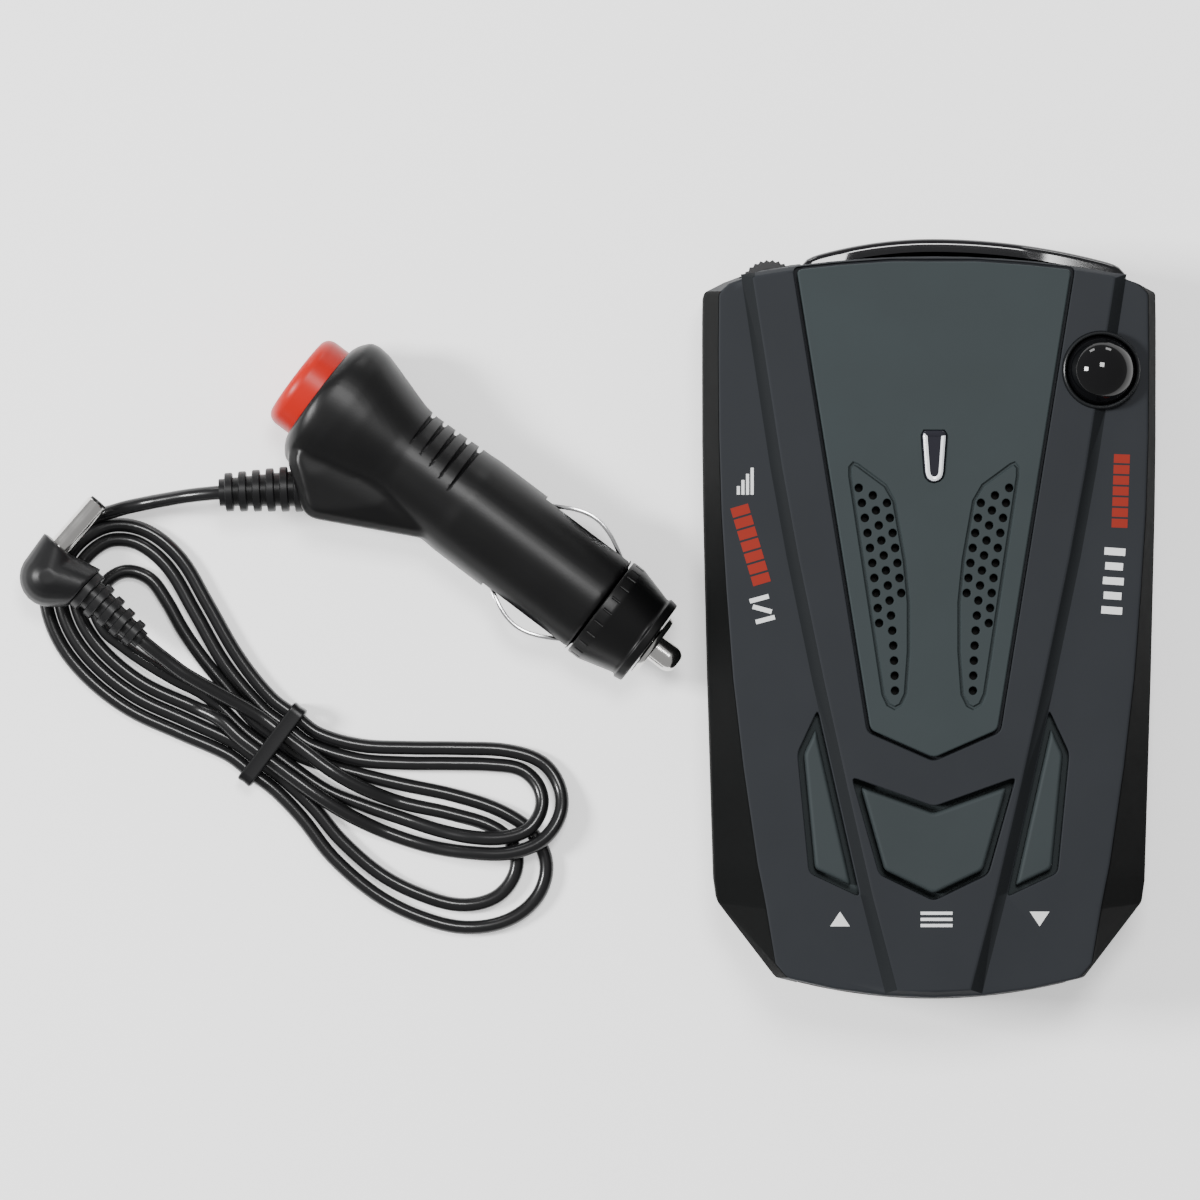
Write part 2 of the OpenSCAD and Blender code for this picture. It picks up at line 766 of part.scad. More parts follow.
module jack_plug_sleeve() {
    color("#c8cacc") translate(barrel_from) rotate([0, 0, barrel_turn])
        turned([[0, 0], [0, 1.75], [9.5, 1.75], [9.5, 1.3], [1, 1.3], [1, 0]]);
}

module jack_plug_insulator() {
    color("#0e0e0f") translate(barrel_from) rotate([0, 0, barrel_turn])
        turned([[1, 0.75], [1, 1.3], [9.5, 1.3], [9.5, 1.5], [9.9, 1.5], [9.9, 0.75]]);
}

module jack_plug_strain_relief() {
    color("#161617") translate(jack_from) rotate([0, 0, jack_turn])
        relief(jack_relief_l, 3.6, 2.1, cord_r, 5);
}

bottom_case();
top_cover();
centre_panel();
grille_cloth();
front_window();
dome_lens();
dome_bezel();
indicator_lens();
display_window();
display_module();
main_board();
board_screws();
key_board();
tact_switches();
horn_antenna();
receiver_shield();
laser_condenser();
laser_sensor();
speaker_frame();
speaker_cone();
speaker_magnet();
speaker_leads();
volume_potentiometer();
power_jack();
case_screws();
rubber_feet();
rear_label();
up_button();
menu_button();
down_button();
volume_wheel();
plug_upper_shell();
plug_lower_shell();
plug_switch_button();
plug_switch();
side_contact_left();
side_contact_right();
nose_cap();
nose_ring();
centre_contact();
contact_spring();
plug_fuse();
plug_screw();
plug_strain_relief();
cord_lead_in();
cord_hank();
cord_lead_out();
cord_tie();
jack_plug_body();
jack_plug_sleeve();
jack_plug_insulator();
jack_plug_strain_relief();
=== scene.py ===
"""A dashboard radar detector and its 12 V lead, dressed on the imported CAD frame. Metres, +Z up."""

import json
import math

import bmesh
import bpy
from mathutils import Matrix, Vector


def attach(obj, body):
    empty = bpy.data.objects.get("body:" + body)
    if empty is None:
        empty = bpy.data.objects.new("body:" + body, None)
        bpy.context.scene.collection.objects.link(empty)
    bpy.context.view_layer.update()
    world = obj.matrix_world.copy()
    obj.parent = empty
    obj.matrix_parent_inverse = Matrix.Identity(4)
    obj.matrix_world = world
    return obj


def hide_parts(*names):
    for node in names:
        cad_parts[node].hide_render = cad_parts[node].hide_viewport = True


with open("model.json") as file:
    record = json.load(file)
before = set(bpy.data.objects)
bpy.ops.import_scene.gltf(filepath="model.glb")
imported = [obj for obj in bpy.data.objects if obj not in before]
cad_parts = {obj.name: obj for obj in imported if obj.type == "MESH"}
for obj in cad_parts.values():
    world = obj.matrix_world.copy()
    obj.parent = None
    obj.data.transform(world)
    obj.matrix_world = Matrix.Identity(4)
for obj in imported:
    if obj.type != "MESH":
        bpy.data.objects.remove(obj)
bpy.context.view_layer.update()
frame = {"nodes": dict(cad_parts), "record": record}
nodes = frame["nodes"]
MM = 0.001


def mm(*values):
    """A point given in millimetres, as a vector in metres."""
    return Vector(v * MM for v in values)


# ---- camera: straight above, far away, with the long lens of a catalogue shot ----

LENS = 180
SENSOR = 36
FRAME_WIDTH = 0.199
VIEW_CENTRE = mm(-54.5, 3.4, 14)

camera_data = bpy.data.cameras.new("camera")
camera_data.lens = LENS
camera_data.sensor_width = SENSOR
camera_data.clip_end = 10
camera = bpy.data.objects.new("camera", camera_data)
camera.location = VIEW_CENTRE + Vector((0, 0, FRAME_WIDTH * LENS / SENSOR))
bpy.context.scene.collection.objects.link(camera)
bpy.context.scene.camera = camera


# ---- cord: its whole route, in millimetres, from the 12 V plug to the small plug ----

# The cord's diameter in millimetres
CORD_D = 2.4
LEAD_IN = [(-115.9, 21.4, 9.8), (-119, 21.2, 9.5), (-123, 20.8, 8.2), (-127, 20.2, 6.2),
           (-131, 19.5, 4.4), (-135, 18.6, 3.7)]
LEAD_OUT = [(-123.5, -9.2, 6.2), (-127, -6.6, 6.8), (-130.2, -4, 7.6), (-132.4, -2, 7.8)]

# Outermost turn of the left lobe, from the tie's upper side, round the tip, to its lower side.
# The last three values of a point say how much of a pass's upper, tip and lower inset it takes.
LEFT_LOBE = [
    (-115.2, -6.2, 1, 0, 0), (-120.4, 2.8, 1, 0, 0), (-124.8, 10.2, 1, 0, 0), (-129.6, 15.6, 0.6, 0.4, 0),
    (-136, 18, 0.2, 0.8, 0), (-142.4, 15.9, 0, 1, 0), (-146.6, 10.6, 0, 1, 0), (-147.6, 3.6, 0, 1, 0),
    (-145.4, -3.4, 0, 0.7, 0.3), (-140.6, -9.6, 0, 0.3, 0.7), (-133.6, -15, 0, 0, 1), (-125, -19, 0, 0, 1),
]
# Middle of the tie, and the directions across and along the bundle that it holds
TIE_AT = (-109.4, -20.8)
TIE_ACROSS = (0.603, 0.798)
TIE_ALONG = (0.798, -0.603)
# Heights of a strand's middle: on the surface, in the tie's upper layer, and over another strand
LOW = CORD_D / 2
HIGH = 3.3
OVER = 3.7

# The innermost turn of the left lobe, which is rounder than the others
LEFT_INNER = [(-117.1, -11.5, LOW), (-121.2, -6.5, LOW), (-124.6, -1.6, LOW), (-127.3, 3.2, LOW),
              (-130.2, 7, LOW), (-134.2, 8.2, LOW), (-137.6, 6.2, LOW), (-139.2, 2.2, LOW),
              (-137.7, -1.6, LOW), (-134.9, -4, LOW), (-131, -6.8, LOW), (-126, -9.8, LOW),
              (-120.5, -12.7, LOW)]

# Right-hand loops, each from the tie's lower side round its tip to the tie's upper side
LOWER_OUTER = [(-104.6, -33.2, LOW), (-99.4, -39.8, LOW), (-92.2, -46, LOW), (-84.8, -49.8, LOW),
               (-77.2, -51.6, LOW), (-70, -50.4, LOW), (-65, -46.4, LOW), (-63.5, -40.8, LOW),
               (-66, -35.6, LOW), (-71.2, -32, LOW), (-79, -29.4, LOW), (-88, -27.5, LOW),
               (-96.4, -25.5, LOW)]
LOWER_INNER = [(-102.6, -31.4, LOW), (-98, -36.9, LOW), (-91.4, -42.6, LOW), (-84.8, -46, LOW),
               (-78, -47.8, LOW), (-72.2, -46.6, LOW), (-68.9, -42.8, LOW), (-68.8, -38.4, LOW),
               (-72.2, -34.9, LOW), (-79.6, -32.5, LOW), (-88, -30.6, LOW), (-94.2, -28.2, 2.9),
               (-99.2, -25.4, OVER)]
UPPER_OUTER = [(-101.2, -29.8, HIGH), (-96, -33, 2.4), (-90, -35.8, LOW), (-83, -38, 1.6),
               (-76, -39, 3.1), (-69.6, -39, OVER), (-64.2, -36.9, OVER), (-61.2, -32.6, 3),
               (-61.3, -28, 1.7), (-64.2, -23.9, LOW), (-70, -21.9, LOW), (-78, -21.5, LOW),
               (-87, -21.4, LOW), (-94.8, -21, LOW)]
UPPER_INNER = [(-100.2, -28.7, LOW), (-94.4, -31, LOW), (-88, -33.2, LOW), (-81.4, -35.3, 1.9),
               (-75.6, -36.4, 3.3), (-70.4, -36.4, OVER), (-66.4, -34.9, 3.6), (-64.3, -31.4, 2.7),
               (-64.9, -27.8, 1.8), (-67.8, -25.1, LOW), (-72.6, -24.3, LOW), (-80, -24.1, LOW),
               (-88, -24, LOW), (-95.4, -23.4, LOW)]


def tie_point(along, across, z):
    """A point near the tie, given along and across the bundle."""
    return tuple(TIE_AT[i] + along * TIE_ALONG[i] + across * TIE_ACROSS[i] for i in (0, 1)) + (z,)


def left_pass(upper, tip, lower, first=0):
    """One strand round the left lobe, moved in from the outermost turn by its three insets."""
    made = []
    for i in range(first, len(LEFT_LOBE)):
        x, y, a, b, c = LEFT_LOBE[i]
        before = LEFT_LOBE[max(0, i - 1)]
        after = LEFT_LOBE[min(len(LEFT_LOBE) - 1, i + 1)]
        dx, dy = after[0] - before[0], after[1] - before[1]
        step = math.hypot(dx, dy)
        inset = a * upper + b * tip + c * lower
        made.append((x - dy / step * inset, y + dx / step * inset, LOW))
    return made


def cross_tie(across, z, to_right):
    """The stretch of a strand that the tie holds."""
    along = (-5, 0, 5) if to_right else (5, 0, -5)
    return [tie_point(a, across, z) for a in along]


def cord_route():
    """Every point of the cord, in order."""
    route = list(LEAD_IN)
    route += left_pass(0, 0, 0, first=5)
    route += cross_tie(-6, LOW, True) + LOWER_OUTER + cross_tie(1.2, LOW, False)
    route += LEFT_INNER
    route += cross_tie(-1.2, LOW, True) + UPPER_INNER + cross_tie(3.6, LOW, False)
    route += left_pass(2.6, 5, 5) + [tie_point(-9.5, -2, 2.9)]
    route += cross_tie(-2.4, HIGH, True) + UPPER_OUTER + cross_tie(6, LOW, False)
    route += left_pass(0, 2.5, 2.5)
    route += cross_tie(-3.6, LOW, True) + LOWER_INNER + cross_tie(2.4, HIGH, False)
    return route + LEAD_OUT


def make_cord():
    """The cord as one curve, whose knots carry its radius in metres."""
    route = cord_route()
    curve = bpy.data.curves.new("power_cord", "CURVE")
    curve.dimensions = "3D"
    curve.bevel_depth = 1
    curve.bevel_resolution = 4
    curve.resolution_u = 6
    curve.use_fill_caps = True
    spline = curve.splines.new("BEZIER")
    spline.bezier_points.add(len(route) - 1)
    points = [mm(*p) for p in route]
    last = len(points) - 1
    for i, knot in enumerate(spline.bezier_points):
        before, here, after = points[max(0, i - 1)], points[i], points[min(last, i + 1)]
        tangent = (after - before).normalized()
        if route[i][2] == LOW:
            tangent.z = 0  # flat where it lies on the surface
        knot.co = here
        knot.radius = CORD_D / 2 * MM
        knot.handle_left_type = knot.handle_right_type = "FREE"
        knot.handle_left = here - tangent * (here - before).length / 3
        knot.handle_right = here + tangent * (after - here).length / 3
    cord = bpy.data.objects.new("power_cord", curve)
    bpy.context.scene.collection.objects.link(cord)
    return cord


power_cord = make_cord()
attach(power_cord, "power_lead")
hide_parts("cord_lead_in", "cord_hank", "cord_lead_out")

# ---- floor and light ----

FLOOR_HALF = 1.5
FLOOR_LEVEL = -0.0001
FLOOR_GLOW = 0.6
WORLD_LIGHT = 0.4
LIT_POINT = (-0.04, 0, 0.02)


def make_floor():
    """A plain pale floor just under the part, with a little light of its own."""
    mesh = bpy.data.meshes.new("floor")
    corners = [(x * FLOOR_HALF, y * FLOOR_HALF, 0) for x, y in ((-1, -1), (1, -1), (1, 1), (-1, 1))]
    mesh.from_pydata(corners, [], [(0, 1, 2, 3)])
    floor = bpy.data.objects.new("floor", mesh)
    floor.location.z = FLOOR_LEVEL
    bpy.context.scene.collection.objects.link(floor)
    material = bpy.data.materials.new("floor")
    material.use_nodes = True
    shader = material.node_tree.nodes["Principled BSDF"]
    shader.inputs["Base Color"].default_value = (0.94, 0.94, 0.94, 1)
    shader.inputs["Roughness"].default_value = 0.8
    shader.inputs["Emission Color"].default_value = (1, 1, 1, 1)
    shader.inputs["Emission Strength"].default_value = FLOOR_GLOW
    mesh.materials.append(material)


def soft_light(name, location, size, power):
    """A rectangular lamp that faces the middle of the part."""
    data = bpy.data.lights.new(name, "AREA")
    data.shape = "RECTANGLE"
    data.size, data.size_y = size
    data.energy = power
    lamp = bpy.data.objects.new(name, data)
    lamp.location = location
    lamp.rotation_euler = (Vector(LIT_POINT) - lamp.location).to_track_quat("-Z", "Y").to_euler()
    bpy.context.scene.collection.objects.link(lamp)


make_floor()
world = bpy.data.worlds.new("world")
world.use_nodes = True
world.node_tree.nodes["Background"].inputs["Color"].default_value = (1, 1, 1, 1)
world.node_tree.nodes["Background"].inputs["Strength"].default_value = WORLD_LIGHT
bpy.context.scene.world = world
soft_light("overhead", (0.02, 0.4, 1.2), (0.3, 0.3), 10)
soft_light("left", (-1.0, 0.12, 0.78), (0.25, 0.3), 21)
soft_light("front_left", (-0.5, 1.2, 0.3), (0.3, 0.2), 2)
soft_light("front_right", (0.42, 1.2, 0.3), (0.3, 0.2), 2)


# ---- materials ----

# Every material below by the name it is asked for, which the frame may have taken already
MATERIALS = {}


def new_material(name):
    material = bpy.data.materials.new(name)
    MATERIALS[name] = material
    material.use_nodes = True
    return material, material.node_tree.nodes, material.node_tree.links


COARSE_MM = 14
GRAIN_MM = 0.35
HAZE_MM = 3
BUMP_MM = 0.02


def plastic(name, colour, roughness, grain=0.12, strength=0.25, spread=0.12, coat=0.0, specular=0.25):
    """Moulded plastic: a fine spark-eroded grain, slight colour mottling and uneven polish."""
    material, tree, links = new_material(name)
    shader = tree["Principled BSDF"]
    shader.inputs["Specular IOR Level"].default_value = specular
    shader.inputs["Coat Weight"].default_value = coat
    shader.inputs["Coat Roughness"].default_value = 0.08
    place = tree.new("ShaderNodeTexCoord")
    fine = tree.new("ShaderNodeTexNoise")
    fine.inputs["Scale"].default_value = 1 / (GRAIN_MM * MM)
    fine.inputs["Detail"].default_value = 3
    links.new(place.outputs["Object"], fine.inputs["Vector"])
    broad = tree.new("ShaderNodeTexNoise")
    broad.inputs["Scale"].default_value = 1 / (COARSE_MM * MM)
    broad.inputs["Detail"].default_value = 4
    links.new(place.outputs["Object"], broad.inputs["Vector"])
    tint = tree.new("ShaderNodeMapRange")
    tint.inputs["To Min"].default_value = 1 - spread
    tint.inputs["To Max"].default_value = 1 + spread
    links.new(broad.outputs["Fac"], tint.inputs["Value"])
    mix = tree.new("ShaderNodeVectorMath")
    mix.operation = "SCALE"
    mix.inputs[0].default_value = colour
    links.new(tint.outputs["Result"], mix.inputs["Scale"])
    links.new(mix.outputs["Vector"], shader.inputs["Base Color"])
    polish = tree.new("ShaderNodeMapRange")
    polish.inputs["To Min"].default_value = max(0.02, roughness - grain / 2)
    polish.inputs["To Max"].default_value = min(1, roughness + grain / 2)
    links.new(broad.outputs["Fac"], polish.inputs["Value"])
    links.new(polish.outputs["Result"], shader.inputs["Roughness"])
    if strength:
        bump = tree.new("ShaderNodeBump")
        bump.inputs["Strength"].default_value = strength
        bump.inputs["Distance"].default_value = BUMP_MM * MM
        links.new(fine.outputs["Fac"], bump.inputs["Height"])
        links.new(bump.outputs["Normal"], shader.inputs["Normal"])


def gloss(name, colour, roughness, **more):
    """Polished plastic without grain."""
    plastic(name, colour, roughness, grain=0.02, strength=0, **more)


def metal(name, colour, roughness):
    """Plated or pressed metal with a broad haze."""
    material, tree, links = new_material(name)
    shader = tree["Principled BSDF"]
    shader.inputs["Metallic"].default_value = 1
    shader.inputs["Base Color"].default_value = (*colour, 1)
    place = tree.new("ShaderNodeTexCoord")
    haze = tree.new("ShaderNodeTexNoise")
    haze.inputs["Scale"].default_value = 1 / (HAZE_MM * MM)
    haze.inputs["Detail"].default_value = 5
    links.new(place.outputs["Object"], haze.inputs["Vector"])
    polish = tree.new("ShaderNodeMapRange")
    polish.inputs["To Min"].default_value = roughness * 0.6
    polish.inputs["To Max"].default_value = roughness * 1.5
    links.new(haze.outputs["Fac"], polish.inputs["Value"])
    links.new(polish.outputs["Result"], shader.inputs["Roughness"])


def clear(name, colour):
    """Polished glass or clear plastic."""
    material, tree, _ = new_material(name)
    shader = tree["Principled BSDF"]
    shader.inputs["Base Color"].default_value = (*colour, 1)
    shader.inputs["Roughness"].default_value = 0.05
    shader.inputs["Transmission Weight"].default_value = 1
    shader.inputs["IOR"].default_value = 1.49


plastic("case_plastic", (0.0045, 0.0048, 0.0048), 0.7, specular=0.02)
plastic("cover_plastic", (0.0205, 0.0225, 0.026), 0.6, specular=0.1)
# painted shade: a darker tone for the sloping strips beside the raised centre, in place of the shade they lie
# in
plastic("strip_painted_shade", (0.013, 0.0145, 0.016), 0.6, specular=0.05)
plastic("panel_plastic", (0.029, 0.037, 0.039), 0.6, specular=0.12)
plastic("grille_cloth", (0.006, 0.006, 0.006), 0.9, strength=0.8)
gloss("window_black", (0.004, 0.004, 0.005), 0.07, coat=0.6)
gloss("dome_black", (0.003, 0.003, 0.0035), 0.05, specular=0.35)
plastic("bezel_plastic", (0.012, 0.013, 0.014), 0.3)
gloss("clear_lens", (0.012, 0.012, 0.018), 0.08, coat=0.6)
# painted highlight: near-white gloss for the lamp's rolled edges, in place of the lights' reflections
gloss("lens_painted_highlight", (0.82, 0.84, 0.87), 0.12, spread=0.04, coat=0.6)
gloss("smoked_window", (0.012, 0.003, 0.003), 0.06, coat=0.6)
plastic("display_module", (0.12, 0.01, 0.008), 0.5)
plastic("circuit_board", (0.01, 0.08, 0.03), 0.35)
metal("screw_steel", (0.6, 0.6, 0.6), 0.3)
plastic("switch_plastic", (0.012, 0.012, 0.013), 0.5)
metal("horn_brass", (0.6, 0.48, 0.24), 0.35)
metal("tinned_shield", (0.62, 0.63, 0.64), 0.3)
clear("red_optic", (0.5, 0.05, 0.05))
metal("speaker_steel", (0.3, 0.3, 0.31), 0.4)
plastic("speaker_paper", (0.01, 0.01, 0.01), 0.9, strength=0.8)
plastic("ferrite", (0.02, 0.02, 0.02), 0.7)
plastic("lead_wire", (0.3, 0.01, 0.008), 0.4)
plastic("potentiometer", (0.04, 0.04, 0.045), 0.4)
plastic("jack_plastic", (0.006, 0.006, 0.006), 0.4)
metal("black_screw", (0.06, 0.06, 0.06), 0.4)
plastic("foot_rubber", (0.01, 0.01, 0.01), 0.8, strength=0.5)
plastic("label_film", (0.35, 0.35, 0.33), 0.45)
plastic("key_plastic", (0.029, 0.036, 0.038), 0.6, specular=0.12)
plastic("wheel_plastic", (0.01, 0.01, 0.011), 0.4)
plastic("plug_plastic", (0.0035, 0.0035, 0.0037), 0.36, specular=0.25)
plastic("red_button", (0.42, 0.008, 0.003), 0.35, specular=0.25)
metal("spring_metal", (0.7, 0.7, 0.71), 0.18)
metal("nickel_plate", (0.72, 0.71, 0.69), 0.15)
clear("fuse_glass", (0.85, 0.9, 0.9))
plastic("relief_pvc", (0.007, 0.007, 0.0075), 0.38)
plastic("cord_pvc", (0.008, 0.008, 0.0085), 0.3, coat=0.25)
plastic("tie_plastic", (0.004, 0.004, 0.0045), 0.35)
plastic("insulator_black", (0.004, 0.004, 0.004), 0.4)
plastic("white_print", (0.7, 0.71, 0.71), 0.5)
plastic("red_print", (0.23, 0.02, 0.012), 0.55, specular=0.1)


# ---- shapes: everything below is drawn in millimetres ----

def both(half):
    """A right half that runs from rear to front, with its mirror image."""
    return half + [(-x, y) for x, y in reversed(half) if x > 0.01]


def flipped(points):
    """The mirror image of an anticlockwise outline, anticlockwise too."""
    return [(-x, y) for x, y in reversed(points)]


def inset(points, distance):
    """An anticlockwise outline moved inwards by the same distance on every side."""
    moved = []
    for i, (x, y) in enumerate(points):
        before, after = points[i - 1], points[(i + 1) % len(points)]
        a = Vector((y - before[1], before[0] - x)).normalized()
        b = Vector((after[1] - y, x - after[0])).normalized()
        step = (a + b) * 2 * distance / (a + b).length_squared
        moved.append((x - step.x, y - step.y))
    return moved


def rounded(points, reach, steps=4, closed=True, only=None):
    """Rounds the corners of an outline. Each rounding starts up to reach from its corner."""
    made = []
    last = len(points) - 1
    for i, p in enumerate(points):
        if (only is not None and i not in only) or (not closed and i in (0, last)):
            made.append(tuple(p))
            continue
        here, before, after = Vector(p), Vector(points[i - 1]), Vector(points[(i + 1) % (last + 1)])
        limit = min(reach, 0.45 * (before - here).length, 0.45 * (after - here).length)
        start = here + (before - here).normalized() * limit
        end = here + (after - here).normalized() * limit
        for k in range(steps + 1):
            t = k / steps
            made.append(tuple(start * (1 - t) ** 2 + here * 2 * t * (1 - t) + end * t * t))
    return made


def at_height(points, z):
    return [(x, y, z) for x, y in points]


def link(name, mesh):
    piece = bpy.data.objects.new(name, mesh)
    bpy.context.scene.collection.objects.link(piece)
    return piece


def tidied(name, shape):
    """An object from a bmesh, its doubles merged and its faces turned outwards."""
    bmesh.ops.remove_doubles(shape, verts=shape.verts, dist=0.001 * MM)
    bmesh.ops.recalc_face_normals(shape, faces=shape.faces)
    mesh = bpy.data.meshes.new(name)
    shape.to_mesh(mesh)
    shape.free()
    return link(name, mesh)


def lofted(name, rings, paint=None, looped=False, place=Matrix()):
    """A solid through rings of equally many points, capped, or looped back to its first ring.
    paint(ring, station) gives the material index of a side face."""
    shape = bmesh.new()
    grid = [[shape.verts.new(place @ mm(*p)) for p in ring] for ring in rings]
    count = len(rings[0])
    for i in range(len(rings) if looped else len(rings) - 1):
        low, high = grid[i], grid[(i + 1) % len(rings)]
        for k in range(count):
            j = (k + 1) % count
            face = shape.faces.new((low[k], low[j], high[j], high[k]))
            face.material_index = paint(i, k) if paint else 0
    if not looped:
        shape.faces.new(reversed(grid[0]))
        shape.faces.new(grid[-1])
    return tidied(name, shape)


def slab(name, outline, z0, z1, lip=0):
    """A flat plate, its upper edge rounded over by lip."""
    rings = [at_height(outline, z0), at_height(outline, z1 - lip)]
    for k in range(1, 4 if lip else 0):
        a = math.radians(30 * k)
        rings.append(at_height(inset(outline, lip * (1 - math.cos(a))), z1 - lip + lip * math.sin(a)))
    return lofted(name, rings)


def opening(name, outline, z0, z1, lip):
    """A cutter for a hole up through z1, whose upper rim it rounds over by lip."""
    rings = [at_height(outline, z0), at_height(outline, z1 - lip)]
    for k in range(1, 4):
        a = math.radians(30 * k)
        rings.append(at_height(inset(outline, -lip * (1 - math.cos(a))), z1 - lip + lip * math.sin(a)))
    rings.append(at_height(inset(outline, -lip), z1 + 2))
    return lofted(name, rings)


def through(outline, z0, z1):
    """A straight cutter with upright sides."""
    return lofted("cut", [at_height(outline, z0), at_height(outline, z1)])


def circle(x, y, r, sides=48):
    return [(x + r * math.cos(2 * math.pi * k / sides), y + r * math.sin(2 * math.pi * k / sides))
            for k in range(sides)]


def arc(centre, reach, start, stop, step):
    """Points of a rounded edge, for the profile of a turned piece. Angles in degrees."""
    angles = [math.radians(a) for a in range(start, stop, step)]
    return [(centre[0] + reach[0] * math.sin(a), centre[1] + reach[1] * math.cos(a)) for a in angles]


def turned(name, profile, place=Matrix(), sides=64):
    """A solid of revolution about X from a closed outline of (along, radius) points."""
    shape = bmesh.new()
    rings = []
    for k in range(sides):
        a = 2 * math.pi * k / sides
        rings.append([shape.verts.new(place @ mm(x, r * math.cos(a), r * math.sin(a))) for x, r in profile])
    for k, ring in enumerate(rings):
        after = rings[(k + 1) % sides]
        for i in range(len(profile)):
            j = (i + 1) % len(profile)
            if profile[i][1] + profile[j][1] > 0:
                shape.faces.new((ring[i], ring[j], after[j], after[i]))
    return tidied(name, shape)


def upright(x, y):
    """Places a turned piece with its axis up at x, y."""
    return Matrix.Translation(mm(x, y, 0)) @ Matrix.Rotation(-math.pi / 2, 4, "Y")


def box(name, low, high, place=Matrix()):
    """A plain block, used only to cut."""
    corners = [(low[0], low[1]), (high[0], low[1]), (high[0], high[1]), (low[0], high[1])]
    return lofted(name, [at_height(corners, low[2]), at_height(corners, high[2])], place=place)


def bake(piece):
    """Applies a piece's modifiers."""
    seen = piece.evaluated_get(bpy.context.evaluated_depsgraph_get())
    mesh = bpy.data.meshes.new_from_object(seen)
    piece.modifiers.clear()
    piece.data = mesh


def combined(piece, tools, operation="DIFFERENCE"):
    """Cuts the tools from a piece, or joins them to it, and removes them."""
    for tool in tools:
        step = piece.modifiers.new("step", "BOOLEAN")
        step.operation = operation
        step.solver = "EXACT"
        step.object = tool
    bake(piece)
    for tool in tools:
        bpy.data.objects.remove(tool)
    return piece


def joined(name, parts):
    """Several separate shapes as one piece."""
    shape = bmesh.new()
    for part in parts:
        shape.from_mesh(part.data)
        bpy.data.objects.remove(part)
    mesh = bpy.data.meshes.new(name)
    shape.to_mesh(mesh)
    shape.free()
    return link(name, mesh)


def blended(piece, voxel, passes):
    """Melts the joins of a piece together, as in one moulding."""
    melt = piece.modifiers.new("melt", "REMESH")
    melt.mode = "VOXEL"
    melt.voxel_size = voxel * MM
    calm = piece.modifiers.new("calm", "SMOOTH")
    calm.factor = 0.5
    calm.iterations = passes
    bake(piece)
    return piece


def finish(piece, body, slots, stands_for=(), angle=32):
    """Gives a piece its materials, smooth shading and body."""
    names = [slots] if isinstance(slots, str) else slots
    for name in names:
        piece.data.materials.append(MATERIALS[name])
    piece.data.shade_smooth()
    piece.data.set_sharp_from_angle(angle=math.radians(angle))
    even = piece.modifiers.new("even", "WEIGHTED_NORMAL")
    even.keep_sharp = True
    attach(piece, body)
    if stands_for:
        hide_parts(*stands_for)
    return piece


# ---- case: outlines and levels ----

HALF_L = 62.65
WALL = 2
# Heights: top of the feet, joint of the halves, foot of the bevel, wings and raised centre
FOOT_Z = 1.2
SEAM_Z, BEVEL_Z, WING_Z, CENTRE_Z = 14, 17, 29, 30.2
# Heights: underside of the deck, and the grille panel's underside and top
FLOOR_Z = 27
PANEL_FLOOR, PANEL_TOP = 28.4, 30.6


def front_y(x):
    return HALF_L - 2.25 - x * x / 330


def rear_y(x):
    return -HALF_L + x * x / 178


def window_y(x):
    """Outer face of the front window."""
    return HALF_L - x * x / (136 if x < 0 else 216)


# Stations from the middle of the rear to the middle of the front: case outline, then deck outline
STATIONS = [(c, rear_y(c), d, rear_y(d) + 1.1) for c, d in ((0, 0), (8.5, 8), (17, 16), (25.5, 24))]
STATIONS += [(27.3, -56.66, 25.9, -56), (35.1, -46.5, 27.4, -46.7), (35.6, -43, 28.1, -43.1),
             (35.7, -39.7, 28.8, -39.7), (36.17, -24, 31.1, -24), (36.6, -9.5, 32.8, -9.5),
             (36.94, 4.8, 33.9, 4.8), (37.24, 17.4, 34.7, 17.4), (37.4, 30, 35.1, 30),
             (37.42, 44, 35.2, 44), (37.42, 50, 35.15, 49.6), (37.35, 54.2, 35.1, 53.5)]
STATIONS.append((34, 55.9, 33.4, 55.1))
STATIONS += [(c, front_y(c), d, front_y(d) - 0.9) for c, d in
             ((28.5, 27.5), (23, 22), (17.5, 16.5), (12, 11), (6, 5.5), (0, 0))]
# Stations whose corners are rounded
CORNERS = (3, 5, 15)


def station_line(column, inwards):
    """One outline of the stations, moved inwards, with its corners rounded."""
    whole = both([(s[column], s[column + 1]) for s in STATIONS])
    corners = CORNERS + tuple(len(whole) - i for i in CORNERS)
    return rounded(inset(whole, inwards), 0.5, 3, only=corners)


def case_line(inwards=0):
    return station_line(0, inwards)


def deck_line(inwards=0):
    return station_line(2, inwards)


CASE = case_line()
DECK = deck_line()
# Middle of the sloping strip beside the raised centre, from rear to front
STRIP = [(7, -60.8), (11, -45), (15.1, -27.2), (19, -9.5), (23.1, 10.3), (25.8, 25.1), (28, 39.4),
         (30.6, 56.3)]


def centre_line(reach, trim):
    """The raised centre's outline, reach outside the middle of its strips, trim inside the deck's ends."""
    half = [(0, -61.2 + trim)] + [(x + reach, y) for x, y in STRIP]
    half[1] = (half[1][0], -60.9 + trim)
    half += [(x, front_y(x) - 0.95 - trim) for x in (29.2, 24, 18, 12, 6, 0)]
    half[8] = (half[8][0], front_y(30.6) - 0.95 - trim)
    return both(half)


